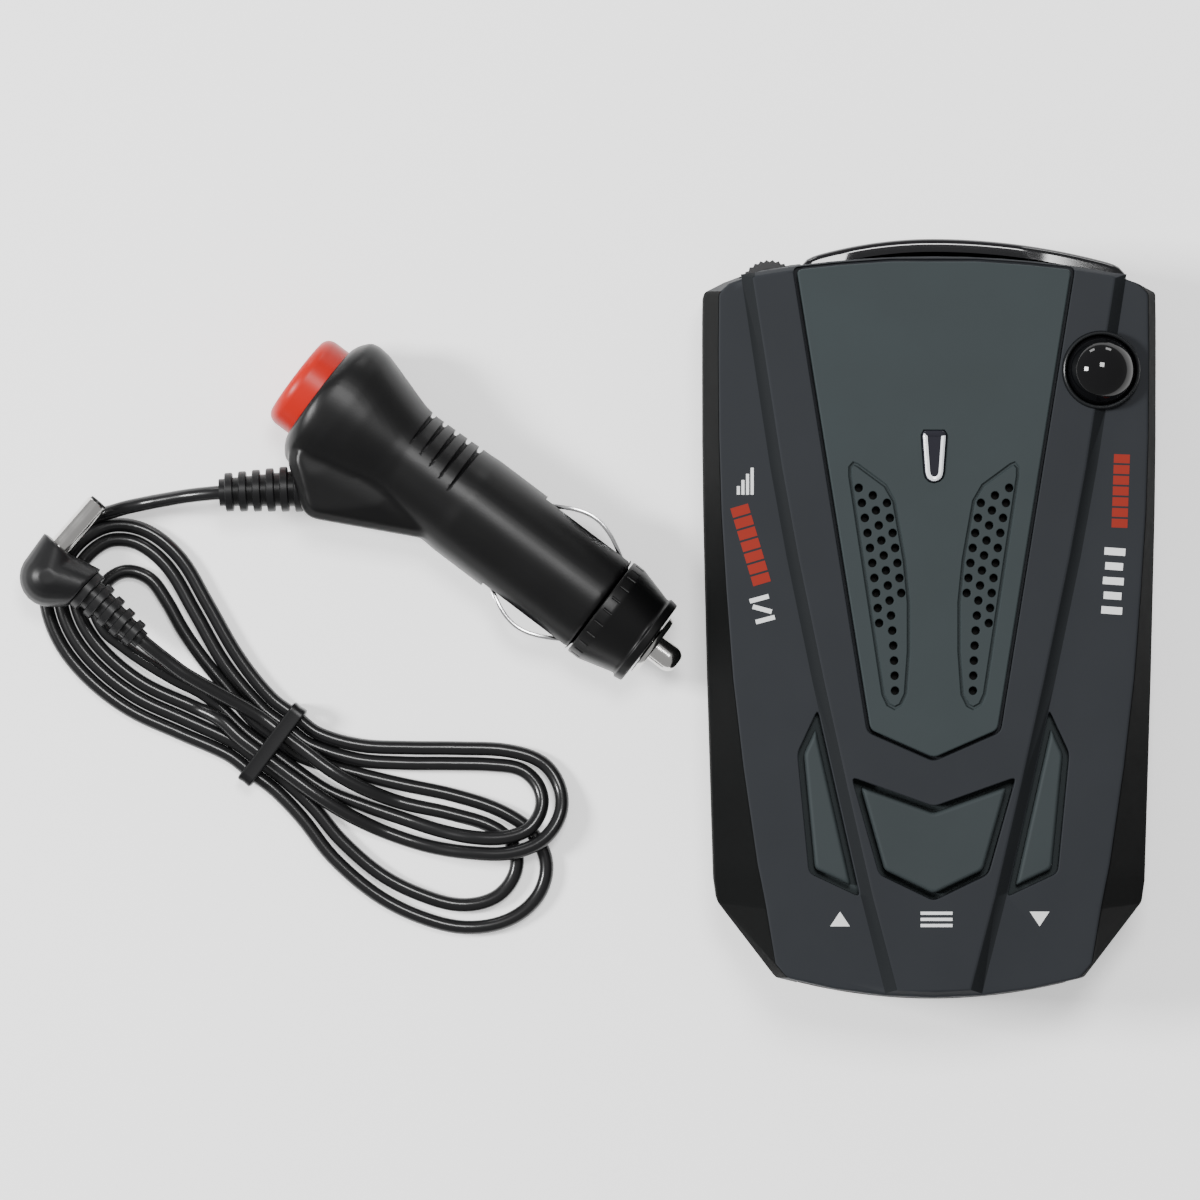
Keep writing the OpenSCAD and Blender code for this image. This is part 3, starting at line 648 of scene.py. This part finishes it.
PANEL = both([(0, -22.6), (10.6, -17.95), (22.7, 57.5), (15, 58.3), (7, 58.85)])
LEAF = [(8.5, -12), (13.9, 23.6), (13.9, 25.1), (13.2, 25.9), (12.4, 25.6), (7.8, 22.2), (6.3, 19.6),
        (4.6, 10), (3.9, 3), (3.9, -5), (4.4, -12), (5.3, -13.9), (6.4, -14.5), (7.7, -13.8)]
UP = [(-18.9, -14.5), (-22.2, -21.6), (-20.3, -41.2), (-12, -45.1)]
MENU = both([(0, -45.7), (8.9, -41.4), (13.4, -25.5), (0.01, -30.3)])
KEYS = {"up_button": (UP, WING_Z), "menu_button": (MENU, CENTRE_Z), "down_button": (flipped(UP), WING_Z)}
SWITCHES = {"up_button": (-17, -31), "menu_button": (0, -36.5), "down_button": (17, -31)}
LAMP_Y, LAMP_L = 22.5, 8.6
LAMP = [(1.65 * math.cos(math.radians(a)), LAMP_Y + 1.65 + 1.65 * math.sin(math.radians(a)))
        for a in range(180, 361, 30)]
LAMP += [(2.1, LAMP_Y + LAMP_L - 0.8), (1.7, LAMP_Y + LAMP_L), (-1.7, LAMP_Y + LAMP_L),
         (-2.1, LAMP_Y + LAMP_L - 0.8)]
DOME = (27.3, 40.9)
WHEEL = (-26.6, 54.5)
CASE_SCREWS = [(-29.4, 24), (29.4, 24), (-19.5, -48), (19.5, -48)]
FEET = [(-27, -46), (27, -46), (-29, 48), (29, 48)]
WINDOW_X = (-21.5, 31.5)
WINDOW_Z = (7, 26)
DISPLAY_X, DISPLAY_Z = 22, (10, 23)
JACK_Y, JACK_Z = 40, 9.5
DOME_R, WHEEL_R = 5.7, 4.9
HOLE_R, HOLE_PITCH = 0.68, 2.45


def window_band(grow):
    """The front window's outline from above."""
    x0, x1 = WINDOW_X[0] - grow, WINDOW_X[1] + grow
    xs = [x0 + (x1 - x0) * i / 24 for i in range(25)]
    back = [(x, window_y(x) - 2.2 - grow) for x in xs]
    return back + [(x, window_y(x) + grow) for x in reversed(xs)]


def end_cutters():
    """Cutters for the front window and the rear display in either half of the case."""
    rear = []
    for x_half, from_y, to_y, z0, z1 in ((22.02, -3, 1.32, 9.98, 23.02), (20.5, 1, 7, 11.5, 21.5)):
        xs = [-x_half + x_half * i / 5 for i in range(11)]
        outline = [(x, rear_y(x) + from_y) for x in xs] + [(x, rear_y(x) + to_y) for x in reversed(xs)]
        rear.append(through(outline, z0, z1))
    window_hole = through(window_band(0.02), *WINDOW_Z)
    chamber = box("cut", (WINDOW_X[0] + 2.5, 45, WINDOW_Z[0] + 1.5),
                  (WINDOW_X[1] - 2.5, 61, WINDOW_Z[1] - 1.5))
    return rear + [window_hole, chamber]


def blend_corner(before, corner, after, reach, steps):
    """Points that round one corner of a station's section."""
    return rounded([before, corner, after], reach, steps, closed=False)[1:-1]


def make_top_cover():
    """The bevelled cover with its raised centre, hollow, bossed and cut for all that it holds."""
    paths = []
    inner = deck_line(1.5)
    for c, d, e in zip(CASE, DECK, inner):
        low, mid = (*c, SEAM_Z), (*c, BEVEL_Z)
        top, deep = (*d, WING_Z), (*e, WING_Z)
        paths.append([low] + blend_corner(low, mid, top, 0.6, 4) + blend_corner(mid, top, deep, 0.45, 4)
                     + [deep])
    bottom = case_line(0.15)
    rings = [[(*p, SEAM_Z) for p in bottom], [(*p, SEAM_Z + 0.15) for p in CASE]]
    rings += [[path[i] for path in paths] for i in range(1, len(paths[0]))]
    sides = [i for i, (x, y) in enumerate(CASE) if abs(x) > 25.4 and y < 55]
    piece = lofted("top_cover_shell", rings, paint=lambda i, k: 1 if k in sides and i < 9 else 0)

    low, high = centre_line(0.9, 0), centre_line(-1.1, 0.7)
    strip = [at_height(low, WING_Z - 0.5), at_height(low, WING_Z)]
    section = [blend_corner((*a, WING_Z), (*b, CENTRE_Z), (*c, CENTRE_Z), 0.35, 3)
               for a, b, c in zip(low, high, inset(high, 1))]
    strip += [[path[i] for path in section] for i in range(4)]
    count = len(low)
    # The strips' sloping faces take material 2, a darker tone that paints in their shade
    shaded_slopes = [k for k in range(count) if (1 <= k <= 7) or (count - 9 <= k <= count - 2)]
    centre = lofted("centre", strip, paint=lambda i, k: 2 if k in shaded_slopes and i < 3 else 0)
    combined(piece, [centre], "UNION")

    cavity = lofted("cut", [at_height(case_line(WALL), SEAM_Z - 1), at_height(case_line(WALL), BEVEL_Z),
                            at_height(deck_line(WALL), FLOOR_Z)])
    combined(piece, [cavity])
    boss = [(SEAM_Z, 1.2), (SEAM_Z, 2.9), (FLOOR_Z + 0.4, 2.9), (FLOOR_Z + 0.4, 0), (23, 0), (23, 1.2)]
    combined(piece, [turned("boss", boss, upright(x, y), 32) for x, y in CASE_SCREWS], "UNION")

    cutters = [opening("cut", rounded(inset(PANEL, -0.3), 1, 4), PANEL_FLOOR, CENTRE_Z, 0.25)]
    for leaf in (LEAF, flipped(LEAF)):
        cutters.append(through(leaf, PANEL_FLOOR - 0.4, CENTRE_Z))
        cutters.append(through(inset(leaf, 0.45), FLOOR_Z - 1, CENTRE_Z))
    cutters.append(through(inset(LAMP, -0.05), FLOOR_Z - 1, CENTRE_Z))
    for outline, top in KEYS.values():
        cutters.append(opening("cut", rounded(outline, 0.9, 3), FLOOR_Z - 1, top, 0.22))
    cutters.append(opening("cut", circle(*DOME, 6.4), PANEL_FLOOR - 0.4, CENTRE_Z, 0.1))
    cutters.append(through(circle(*DOME, 5.2), FLOOR_Z - 1, CENTRE_Z))
    cutters.append(through(circle(*WHEEL, WHEEL_R + 0.5), BEVEL_Z - 0.6, 22.6))
    combined(piece, cutters + end_cutters())
    finish(piece, "detector", ["cover_plastic", "case_plastic", "strip_painted_shade"], ["top_cover"])


def make_bottom_case():
    """The lower tray with its screw posts, foot seats and power inlet."""
    base = case_line(1.7)
    rings = [at_height(base, FOOT_Z)]
    section = [blend_corner((*a, FOOT_Z), (*b, FOOT_Z + 2.2), (*b, SEAM_Z), 0.9, 4)
               for a, b in zip(base, CASE)]
    rings += [[path[i] for path in section] for i in range(5)]
    rings += [at_height(CASE, SEAM_Z - 0.15), at_height(case_line(0.15), SEAM_Z)]
    piece = lofted("bottom_case_shell", rings)
    combined(piece, [through(case_line(WALL), FOOT_Z + WALL, SEAM_Z + 1)])
    post = [(FOOT_Z + 1, 0), (FOOT_Z + 1, 3.4), (SEAM_Z, 3.4), (SEAM_Z, 0)]
    combined(piece, [turned("post", post, upright(x, y), 32) for x, y in CASE_SCREWS], "UNION")
    screw_way = [(0, 0), (0, 3.5), (FOOT_Z, 3.3), (FOOT_Z + 0.35, 2.9), (5, 2.9), (5, 1.6), (15, 1.6),
                 (15, 0)]
    foot_seat = [(0, 0), (0, 4.5), (FOOT_Z, 4.4), (FOOT_Z + 0.2, 4.2), (FOOT_Z + 0.7, 4.2),
                 (FOOT_Z + 0.7, 0)]
    holes = [turned("cut", screw_way, upright(x, y), 40) for x, y in CASE_SCREWS]
    holes += [turned("cut", foot_seat, upright(x, y), 48) for x, y in FEET]
    jack = Matrix.Translation(mm(0, JACK_Y, JACK_Z))
    holes.append(turned("cut", [(31, 0), (31, 2.8), (37, 2.8), (38.5, 4.2), (38.5, 0)], jack, 48))
    combined(piece, holes + end_cutters())
    finish(piece, "detector", "case_plastic", ["bottom_case"])


def leaf_mid(y):
    """Middle line of the right leaf."""
    t = (y + 12) / 36
    return 6.35 + 4 * t * t + 0.4 * t


def depth_in(point, outline):
    """Least distance from a point inside a convex outline to its edges."""
    depths = []
    for i, a in enumerate(outline):
        b = outline[(i + 1) % len(outline)]
        dx, dy = b[0] - a[0], b[1] - a[1]
        depths.append(((a[0] - point[0]) * dy - (a[1] - point[1]) * dx) / math.hypot(dx, dy))
    return min(depths)


def grille_holes():
    """Staggered rows of holes that keep clear of each leaf's edge."""
    places = []
    for row in range(16):
        for column in (-1, 0, 1):
            y = -11.4 + HOLE_PITCH * (row + (0 if column == 0 else 0.5))
            point = (leaf_mid(y) + 2.05 * column, y)
            if depth_in(point, LEAF) > 1.2:
                places += [point, (-point[0], y)]
    return places


def make_centre_panel():
    """The grille panel: two grooved leaves full of holes, and the lamp's slot."""
    piece = slab("centre_panel_plate", rounded(inset(PANEL, 0.25), 0.9, 4), PANEL_FLOOR, PANEL_TOP, lip=0.3)
    grooves = []
    for leaf in (LEAF, flipped(LEAF)):
        rings = [at_height(inset(leaf, move), PANEL_TOP + rise) for move, rise in
                 ((-0.15, 0.5), (-0.15, 0), (0, -0.15), (0.08, -0.38), (0.37, -0.38), (0.45, -0.15),
                  (0.6, 0), (0.6, 0.5))]
        grooves.append(lofted("cut", rings, looped=True))
    hole = [(PANEL_FLOOR - 1, 0), (PANEL_FLOOR - 1, HOLE_R), (PANEL_TOP - 0.18, HOLE_R),
            (PANEL_TOP - 0.06, 0.73), (PANEL_TOP, 0.84), (PANEL_TOP + 1, 0.84), (PANEL_TOP + 1, 0)]
    holes = joined("cut", [turned("hole", hole, upright(x, y), 24) for x, y in grille_holes()])
    lamp_hole = opening("cut", inset(LAMP, -0.04), PANEL_FLOOR - 1, PANEL_TOP, 0.15)
    combined(piece, grooves + [holes, lamp_hole])
    finish(piece, "detector", "panel_plastic", ["centre_panel"])


def make_key(name):
    """A key with steep sides, a softly rounded crown, its flange and its plunger."""
    outline, deck_z = KEYS[name]
    top = deck_z + 0.3
    rings = []
    for move, z in ((0, FLOOR_Z - 1.3), (0, top - 0.9), (0.1, top - 0.45), (0.22, top - 0.2),
                    (0.42, top - 0.05), (0.7, top)):
        rings.append(at_height(rounded(inset(outline, 1 + move), 0.7, 4), z))
    key = lofted(name + "_cap", rings)
    flange = slab("flange", inset(outline, -0.65), FLOOR_Z - 1.3, FLOOR_Z - 0.3)
    x, y = SWITCHES[name]
    pin = [(23.95, 0), (23.95, 1.3), (24.15, 1.5), (FLOOR_Z - 1, 1.5), (FLOOR_Z - 1, 0)]
    plunger = turned("plunger", pin, upright(x, y), 32)
    combined(key, [flange, plunger], "UNION")
    finish(key, name, "key_plastic", [name])


def make_front_window():
    """The gloss bow, its front edges rounded off and its top falling a little at both ends."""
    half_t, round_r = 1.1, 1.0
    z0, z1 = WINDOW_Z
    rings = []
    x0, x1 = WINDOW_X
    count = 56
    for i in range(count + 1):
        s = i / count
        x = x0 + (x1 - x0) * s
        ease = min(1, s * count / 3, (1 - s) * count / 3)
        thin = 0.55 + 0.45 * math.sqrt(1 - (1 - ease) ** 2)
        back, front = window_y(x) - 2 * half_t, window_y(x) - 2 * half_t * (1 - thin)
        slope = 0.15 * min(1, max(0, (abs(x - 1) - 14) / 3))
        section = [(back, z0), (back, z1)]
        for centre_z, start in ((z1 - slope - round_r, 90), (z0 + round_r, 0)):
            for k in range(7):
                a = math.radians(start - 15 * k)
                section.append((front - round_r + round_r * math.cos(a), centre_z + round_r * math.sin(a)))
        rings.append([(x, y, z) for y, z in section])
    piece = lofted("front_window_bow", rings)
    finish(piece, "detector", "window_black", ["front_window"])


def make_display_window():
    """The smoked window of the rear display, bowed like the wall that holds it."""
    low, high = DISPLAY_Z
    outline = rounded([(0.5, low), (1.3, low), (1.3, high), (0.5, high)], 0.2, 3)
    rings = [[(x, rear_y(x) + y, z) for y, z in outline] for x in range(-DISPLAY_X, DISPLAY_X + 1)]
    finish(lofted("display_pane", rings), "detector", "smoked_window", ["display_window"])


def make_dome():
    """The gloss half ball over the laser sensor, and the ring round it."""
    outside = arc((WING_Z, 0), (DOME_R, DOME_R), 0, 91, 3)
    inside = arc((WING_Z, 0), (DOME_R - 1, DOME_R - 1), 90, -1, -9)
    profile = outside + inside + [(28, 4.3), (26.4, 4.3), (26.4, 5.1), (28, 5.1), (28, DOME_R)]
    finish(turned("laser_dome", profile, upright(*DOME), 96), "detector", "dome_black", ["dome_lens"])
    ring = [(28, 5.74), (30.4, 5.74), (30.6, 5.8), (30.8, 5.92), (30.86, 6.05), (30.78, 6.2),
            (30.5, 6.34), (30, 6.38), (28, 6.38)]
    finish(turned("dome_ring", ring, upright(*DOME), 96), "detector", "bezel_plastic", ["dome_bezel"])


def make_lamp():
    """The indicator light pipe: a dark pool between rolled edges painted near-white as a highlight."""
    rings = [at_height(rounded(LAMP, 0.3, 2), 27.6)]
    for move, rise in ((0, 0), (0.1, 0.22), (0.25, 0.34), (0.55, 0.5), (0.95, 0.42), (1.02, 0.3)):
        rings.append(at_height(rounded(inset(LAMP, move), 0.3, 2), PANEL_TOP + rise))
    front = range(22, 29)
    # Material 1 paints a near-white highlight on the rolled edges, except at the front end
    piece = lofted("indicator_lamp", rings, paint=lambda i, k: 1 if i in (3, 4) and k not in front else 0)
    finish(piece, "detector", ["clear_lens", "lens_painted_highlight"], ["indicator_lens"])


def make_wheel():
    """The toothed volume wheel, with a bore and a dished top."""
    teeth = 30
    ring = []
    for i in range(2 * teeth):
        r = WHEEL_R - 0.35 * (i % 2)
        ring.append((r * math.cos(math.pi * i / teeth), r * math.sin(math.pi * i / teeth)))
    rings = []
    for z, shrink in ((17, 0.92), (17.35, 1), (21.65, 1), (22, 0.92)):
        rings.append([(WHEEL[0] + x * shrink, WHEEL[1] + y * shrink, z) for x, y in ring])
    wheel = lofted("volume_wheel_knob", rings)
    bore = through(circle(*WHEEL, 1.25), 16, 23)
    dish = turned("cut", [(21.5, 0), (21.5, 2.9), (22.1, 3.5), (22.1, 0)], upright(*WHEEL), 48)
    combined(wheel, [bore, dish])
    finish(wheel, "volume_wheel", "wheel_plastic", ["volume_wheel"], angle=20)


def make_under_side():
    """Four rubber feet and four case screws with cross slots."""
    foot = [(0, 0), (0, 3.6), (0.15, 3.95), (0.5, 4.15), (1.9, 4.15), (1.9, 0)]
    feet = [turned("foot", foot, upright(x, y), 48) for x, y in FEET]
    finish(joined("rubber_feet_pads", feet), "detector", "foot_rubber", ["rubber_feet"])
    profile = [(3.3, 0), (3.3, 1.6), (3.45, 2.3), (3.9, 2.7), (5, 2.7), (5, 1.15), (21, 1.15), (21, 0)]
    screws = []
    for x, y in CASE_SCREWS:
        screw = turned("screw", profile, upright(x, y), 40)
        cross = [box("cut", (x - 1.5, y - 0.3, 2), (x + 1.5, y + 0.3, 4.3)),
                 box("cut", (x - 0.3, y - 1.5, 2), (x + 0.3, y + 1.5, 4.3))]
        screws.append(combined(screw, cross))
    finish(joined("case_screw_set", screws), "detector", "black_screw", ["case_screws"])


# ---- printed marks: plain signs in place of lettering ----

PRINT = 0.04


def mark(points, z):
    """A flat printed shape from an anticlockwise outline."""
    return slab("mark", points, z - 0.02, z + PRINT)


def bar(x, y, wide, long, turn, z):
    """A printed bar, wide across and long along its turned axis."""
    a = math.radians(turn)
    along, across = (math.cos(a), math.sin(a)), (-math.sin(a), math.cos(a))
    corners = []
    for s, t in ((-1, -1), (1, -1), (1, 1), (-1, 1)):
        corners.append((x + s * long / 2 * along[0] + t * wide / 2 * across[0],
                        y + s * long / 2 * along[1] + t * wide / 2 * across[1]))
    return mark(corners, z)


def make_prints():
    """Signs at the keys, and bars and blocks on the wings."""
    white = [mark([(-16.9, -49.9), (-13.7, -49.9), (-15.3, -47.5)], WING_Z),
             mark([(17.3, -49.9), (18.9, -47.5), (15.7, -47.5)], WING_Z)]
    white += [bar(0.4, -48.7 + dy, 0.5, 5.2, 0, CENTRE_Z) for dy in (-1, 0, 1)]
    white += [bar(-31.9 + 0.75 * i, 21.3 + 0.5 * i, 0.5, 1.4 + i, 90, WING_Z) for i in range(4)]
    white += [bar(-28.5 + 0.5 * i, 3.6 - 1.7 * i, 0.75, 3.2, 15 * (-1) ** i, WING_Z) for i in range(3)]
    white += [bar(29.6 - 0.13 * i, 11.3 - 2.4 * i, 1.2, 3.4 - 0.5 * (i % 2), -4, WING_Z) for i in range(5)]
    red = []
    for x, y, wide, long, turn in ((-29.9, 12.4, 3, 13.6, -73.5), (30.55, 21.2, 2.6, 12.3, 88)):
        a = math.radians(turn)
        for i in range(7):
            s = (i - 3) * long / 7
            red.append(bar(x + s * math.cos(a), y + s * math.sin(a), wide, long / 7 * 0.82, turn, WING_Z))
    finish(joined("white_marks", white), "detector", "white_print")
    finish(joined("red_marks", red), "detector", "red_print")


# ---- 12 V plug: drawn along X with its tip at +X ----

def lying(x, y, z, turn):
    """Places a piece that is drawn along X, turned about Z by so many degrees."""
    return Matrix.Translation(mm(x, y, z)) @ Matrix.Rotation(math.radians(turn), 4, "Z")


PLUG_TURN = -37.1
PLUG = lying(-67, 11.9, 9.8, PLUG_TURN)
RELIEF = lying(-104.1, 22, 9.8, 183)
JACK_RELIEF = lying(-140.6, 5.4, 7.8, -42)
JACK_BARREL = lying(-144.6, 12.4, 7.8, 49)
BARREL_R = 9.25


def hull(name, points):
    """The convex body round a set of points."""
    shape = bmesh.new()
    for p in points:
        shape.verts.new(p)
    result = bmesh.ops.convex_hull(shape, input=shape.verts)
    loose = [v for v in result["geom_interior"] if isinstance(v, bmesh.types.BMVert)]
    bmesh.ops.delete(shape, geom=loose, context="VERTS")
    return tidied(name, shape)


def plug_solid():
    """The plug's outside: a barrel with its spigot, a flared head and the lobe that the cord leaves."""
    stations = [(-42.9, 9.2, 9), (-42.2, 10.6, 9.5), (-41, 12, 9.75), (-39.5, 12.3, 9.8), (-37.4, 12.1, 9.8),
                (-34, 11.1, 9.6), (-30.5, 10, 9.2), (-27.5, 9.1, 8.85), (-25, 8.75, 8.7), (-14, 9.1, 9.1),
                (-12, BARREL_R, BARREL_R), (15.2, BARREL_R, BARREL_R), (15.5, 9, 9), (15.6, 7.45, 7.45),
                (21, 7.4, 7.4)]
    angles = [2 * math.pi * k / 96 for k in range(96)]
    rings = [[(x, wide * math.cos(a), high * math.sin(a)) for a in angles] for x, wide, high in stations]
    solid = lofted("plug_outside", rings, place=PLUG)
    lobe = [(-36.8, -9.4, 6.6, 4.2), (-32, -13.9, 6, 3.4), (-26, -8, 6, 4), (-16, -6.2, 4.6, 3)]
    corners = []
    for x, y, half, r in lobe:
        for dz in (-1, 1):
            for shrink, drop in ((1, 1.6), (0.6, 0)):
                corners += [PLUG @ mm(*p, dz * (half - drop)) for p in circle(x, y, r * shrink, 24)]
    combined(solid, [hull("lobe", corners)], "UNION")
    return blended(solid, 0.35, 9)


def plug_cutters(low_z, high_z):
    """Cutters that leave one half shell between two heights."""
    inside = [(-46, 0), (-46, 9), (-43, 8.7), (-38, 8.7), (-38, 7.4), (-28, 7.4), (-27.9, 4), (-25, 4),
              (-24.9, 7), (-4, 7), (-4, 7.4), (15, 7.4), (15.1, 6), (22, 6), (22, 0)]
    cutters = [turned("cut", inside, PLUG, 64)]
    off_centre = PLUG @ Matrix.Translation(mm(0, -1, 0))
    for i in range(5):
        x = -25.9 + 2.4 * i
        groove = [(x - 0.35, 12), (x, 9.6), (x + 0.15, 9.2), (x + 0.4, 9.05), (x + 0.65, 9.2), (x + 0.8, 9.6),
                  (x + 1.15, 12)]
        ring = turned("cut", groove, off_centre, 64)
        cutters.append(combined(ring, [box("cut", (-40, -20, -20), (0, -1.5, 20), PLUG)]))
    for side in (-1, 1):
        low, high = sorted((side * 5, side * 12))
        cutters.append(box("cut", (-2.2, low, -3), (15.2, high, 3), PLUG))
    relief = [(-3.6, 0), (-3.6, 2.6), (-0.05, 2.6), (-0.05, 3.95), (9, 3.95), (9, 0)]
    cutters.append(turned("cut", relief, RELIEF, 48))
    cutters.append(box("cut", (-60, -30, low_z - 20), (40, 30, low_z), PLUG))
    cutters.append(box("cut", (-60, -30, high_z), (40, 30, high_z + 20), PLUG))
    return cutters


def make_plug_shells():
    """The two half shells; the lower one has the hole for the plug's screw."""
    whole = plug_solid()
    for name, low, high in (("plug_upper_shell", 0.05, 12), ("plug_lower_shell", -12, -0.05)):
        half = link(name + "_half", whole.data.copy())
        tools = plug_cutters(low, high)
        if high < 0:
            place = PLUG @ Matrix.Translation(mm(-36, 9.8, 0)) @ Matrix.Rotation(-math.pi / 2, 4, "Y")
            screw_way = [(-20, 0), (-20, 2), (-4.4, 2), (-4.4, 1.05), (3.6, 1.05), (3.6, 0)]
            tools.append(turned("cut", screw_way, place, 32))
        combined(half, tools)
        finish(half, "power_lead", "plug_plastic", [name], angle=40)
    bpy.data.objects.remove(whole)


def make_nose():
    """The screw-on nose cap with its grip, the eyelet and the centre contact."""
    cap = rounded([(15.8, 8.1), (15.8, 9.2), (18, 9.2), (23.9, 7.6), (24.3, 7.6), (24.5, 8), (26, 7.8),
                   (26, 3.08), (21.4, 3.08), (21.4, 7.6), (16.4, 7.6)], 0.35, 3)
    piece = turned("nose_cap_ring", cap, PLUG, 96)
    grip = []
    for k in range(24):
        turn = PLUG @ Matrix.Rotation(2 * math.pi * k / 24, 4, "X")
        grip.append(turned("cut", [(16.4, 0), (16.4, 0.28), (18.1, 0.28), (18.1, 0)],
                           turn @ Matrix.Translation(mm(0, 9.3, 0)), 12))
    combined(piece, [joined("cut", grip)])
    finish(piece, "nose_cap", "plug_plastic", ["nose_cap"])
    eyelet = rounded([(21.8, 2.4), (21.8, 3), (26.3, 3), (26.3, 5.6), (27.2, 5.2), (27.2, 2.4)], 0.25, 3)
    finish(turned("nose_eyelet", eyelet, PLUG, 64), "nose_ring", "nickel_plate", ["nose_ring"])
    tip = [(16.5, 0), (16.5, 2.3), (20, 2.3), (20, 3.4), (21.4, 3.4), (21.4, 2.3), (29.9, 2.3)]
    tip += arc((29.9, 0.9), (1.9, 1.4), 10, 91, 10)
    tip.append((31.8, 0))
    finish(turned("centre_contact_pin", tip, PLUG, 64), "centre_contact", "nickel_plate", ["centre_contact"])


def make_red_button():
    """The push button in the plug's head, with a rounded rim and a slight dish."""
    profile = [(-40.5, 0), (-40.5, 8.4), (-45.6, 8.4)]
    profile += arc((-45.6, 6.8), (-2, 1.6), 10, 91, 10)
    profile += [(-47.5, 5.6), (-47.3, 4.8), (-47.2, 0)]
    piece = turned("push_button", profile, PLUG, 96)
    finish(piece, "plug_switch_button", "red_button", ["plug_switch_button"])


def make_side_contacts():
    """The two bowed spring leaves in the barrel's sides."""
    for side, name in ((1, "side_contact_left"), (-1, "side_contact_right")):
        rings = []
        for i in range(41):
            s = i / 40
            x, y = -1 + 15 * s, 8.7 + 2.8 * math.sin(math.pi * s)
            slope = math.atan2(2.8 * math.pi / 15 * math.cos(math.pi * s), 1)
            half_w = 2.5 - 0.9 * abs(2 * s - 1) ** 4
            ring = []
            for z, t in rounded([(-half_w, -0.7), (half_w, -0.7), (half_w, 0), (-half_w, 0)], 0.25, 2):
                ring.append((x - t * math.sin(slope), side * (y + t * math.cos(slope)), z))
            rings.append(ring)
        finish(lofted(name + "_leaf", rings, place=PLUG), name, "spring_metal", [name])


def ribbed(name, place, length, r0, r1, ribs, stub):
    """A strain relief: rounded rings that get smaller along the cord, and the neck they stand on."""
    pitch = length / ribs
    profile = [(-stub, 0), (-stub, 2.5), (0, 2.5)] if stub else [(0, 0)]
    for i in range(ribs):
        r = r0 + (r1 - r0) * i / ribs
        neck = max(1.55, r - 0.95)
        profile += [(pitch * i, r - 0.15), (pitch * i + 0.12, r), (pitch * (i + 0.5), r),
                    (pitch * (i + 0.56), r - 0.15), (pitch * (i + 0.58), neck), (pitch * (i + 0.97), neck)]
    profile += [(length, r1 * 0.72), (length, 1.22), (length - 2, 1.2), (length - 2, 0)]
    return turned(name, profile, place, 48)


def make_reliefs():
    """The strain reliefs of both plugs."""
    piece = ribbed("plug_relief_ribs", RELIEF, 13.8, 3.9, 3.1, 6, 3.5)
    finish(piece, "power_lead", "relief_pvc", ["plug_strain_relief"])
    piece = ribbed("jack_relief_ribs", JACK_RELIEF, 13, 3.6, 2.1, 5, 0)
    finish(piece, "power_lead", "relief_pvc", ["jack_plug_strain_relief"])


def make_jack_plug():
    """The right-angle power plug: a moulded elbow, its sleeve and the insulator inside."""
    elbow = mm(-146.4, 7.2, 7.8)
    ball = []
    for i in range(1, 12):
        a = math.pi * i / 12
        ball += [elbow + mm(*p, 5 * math.cos(a)) for p in circle(0, 0, 5 * math.sin(a), 24)]
    bodies = []
    for place, r in ((JACK_BARREL, 3.4), (JACK_RELIEF, 4.2)):
        disc = [place @ mm(0, y, z) for y, z in circle(0, 0, r, 32)]
        bodies.append(hull("jack_shell", ball + disc))
    body = combined(bodies[0], [bodies[1]], "UNION")
    finish(blended(body, 0.25, 5), "power_lead", "relief_pvc", ["jack_plug_body"], angle=50)
    sleeve = [(0, 0), (0, 1.75), (9.3, 1.75), (9.5, 1.62), (9.5, 1.3), (1, 1.3), (1, 0)]
    piece = turned("jack_sleeve", sleeve, JACK_BARREL, 64)
    finish(piece, "power_lead", "nickel_plate", ["jack_plug_sleeve"])
    core = [(1, 0.75), (1, 1.3), (9.5, 1.3), (9.5, 1.5), (9.9, 1.42), (9.9, 0.75)]
    piece = turned("jack_insulator", core, JACK_BARREL, 48)
    finish(piece, "power_lead", "insulator_black", ["jack_plug_insulator"])


def make_tie():
    """The band wrapped once round the hank, its edges turned in."""
    place = lying(*TIE_AT, 0, PLUG_TURN)
    outer = rounded([(-8, 0), (8, 0), (8, 6), (-8, 6)], 1.6, 5)
    rings = []
    for move, x in ((0.3, -1.3), (0.05, -1.15), (0, -0.9), (0.12, 0), (0, 0.9), (0.05, 1.15), (0.3, 1.3),
                    (0.9, 1.2), (0.9, -1.2)):
        rings.append([(x, y, z) for y, z in inset(outer, move)])
    finish(lofted("tie_band", rings, looped=True, place=place), "power_lead", "tie_plastic", ["cord_tie"])


make_top_cover()
make_bottom_case()
make_centre_panel()
for key_name in KEYS:
    make_key(key_name)
make_front_window()
make_display_window()
make_dome()
make_lamp()
make_wheel()
make_under_side()
make_prints()
make_plug_shells()
make_nose()
make_red_button()
make_side_contacts()
make_reliefs()
make_jack_plug()
make_tie()

slots = {row["node"]: row["material_slot"] for row in frame["record"]["subparts"]}
for name, node in nodes.items():
    node.data.materials.clear()
    node.data.materials.append(MATERIALS[slots[name]])
power_cord.data.materials.append(MATERIALS["cord_pvc"])
mm(*LEAD_IN[0])
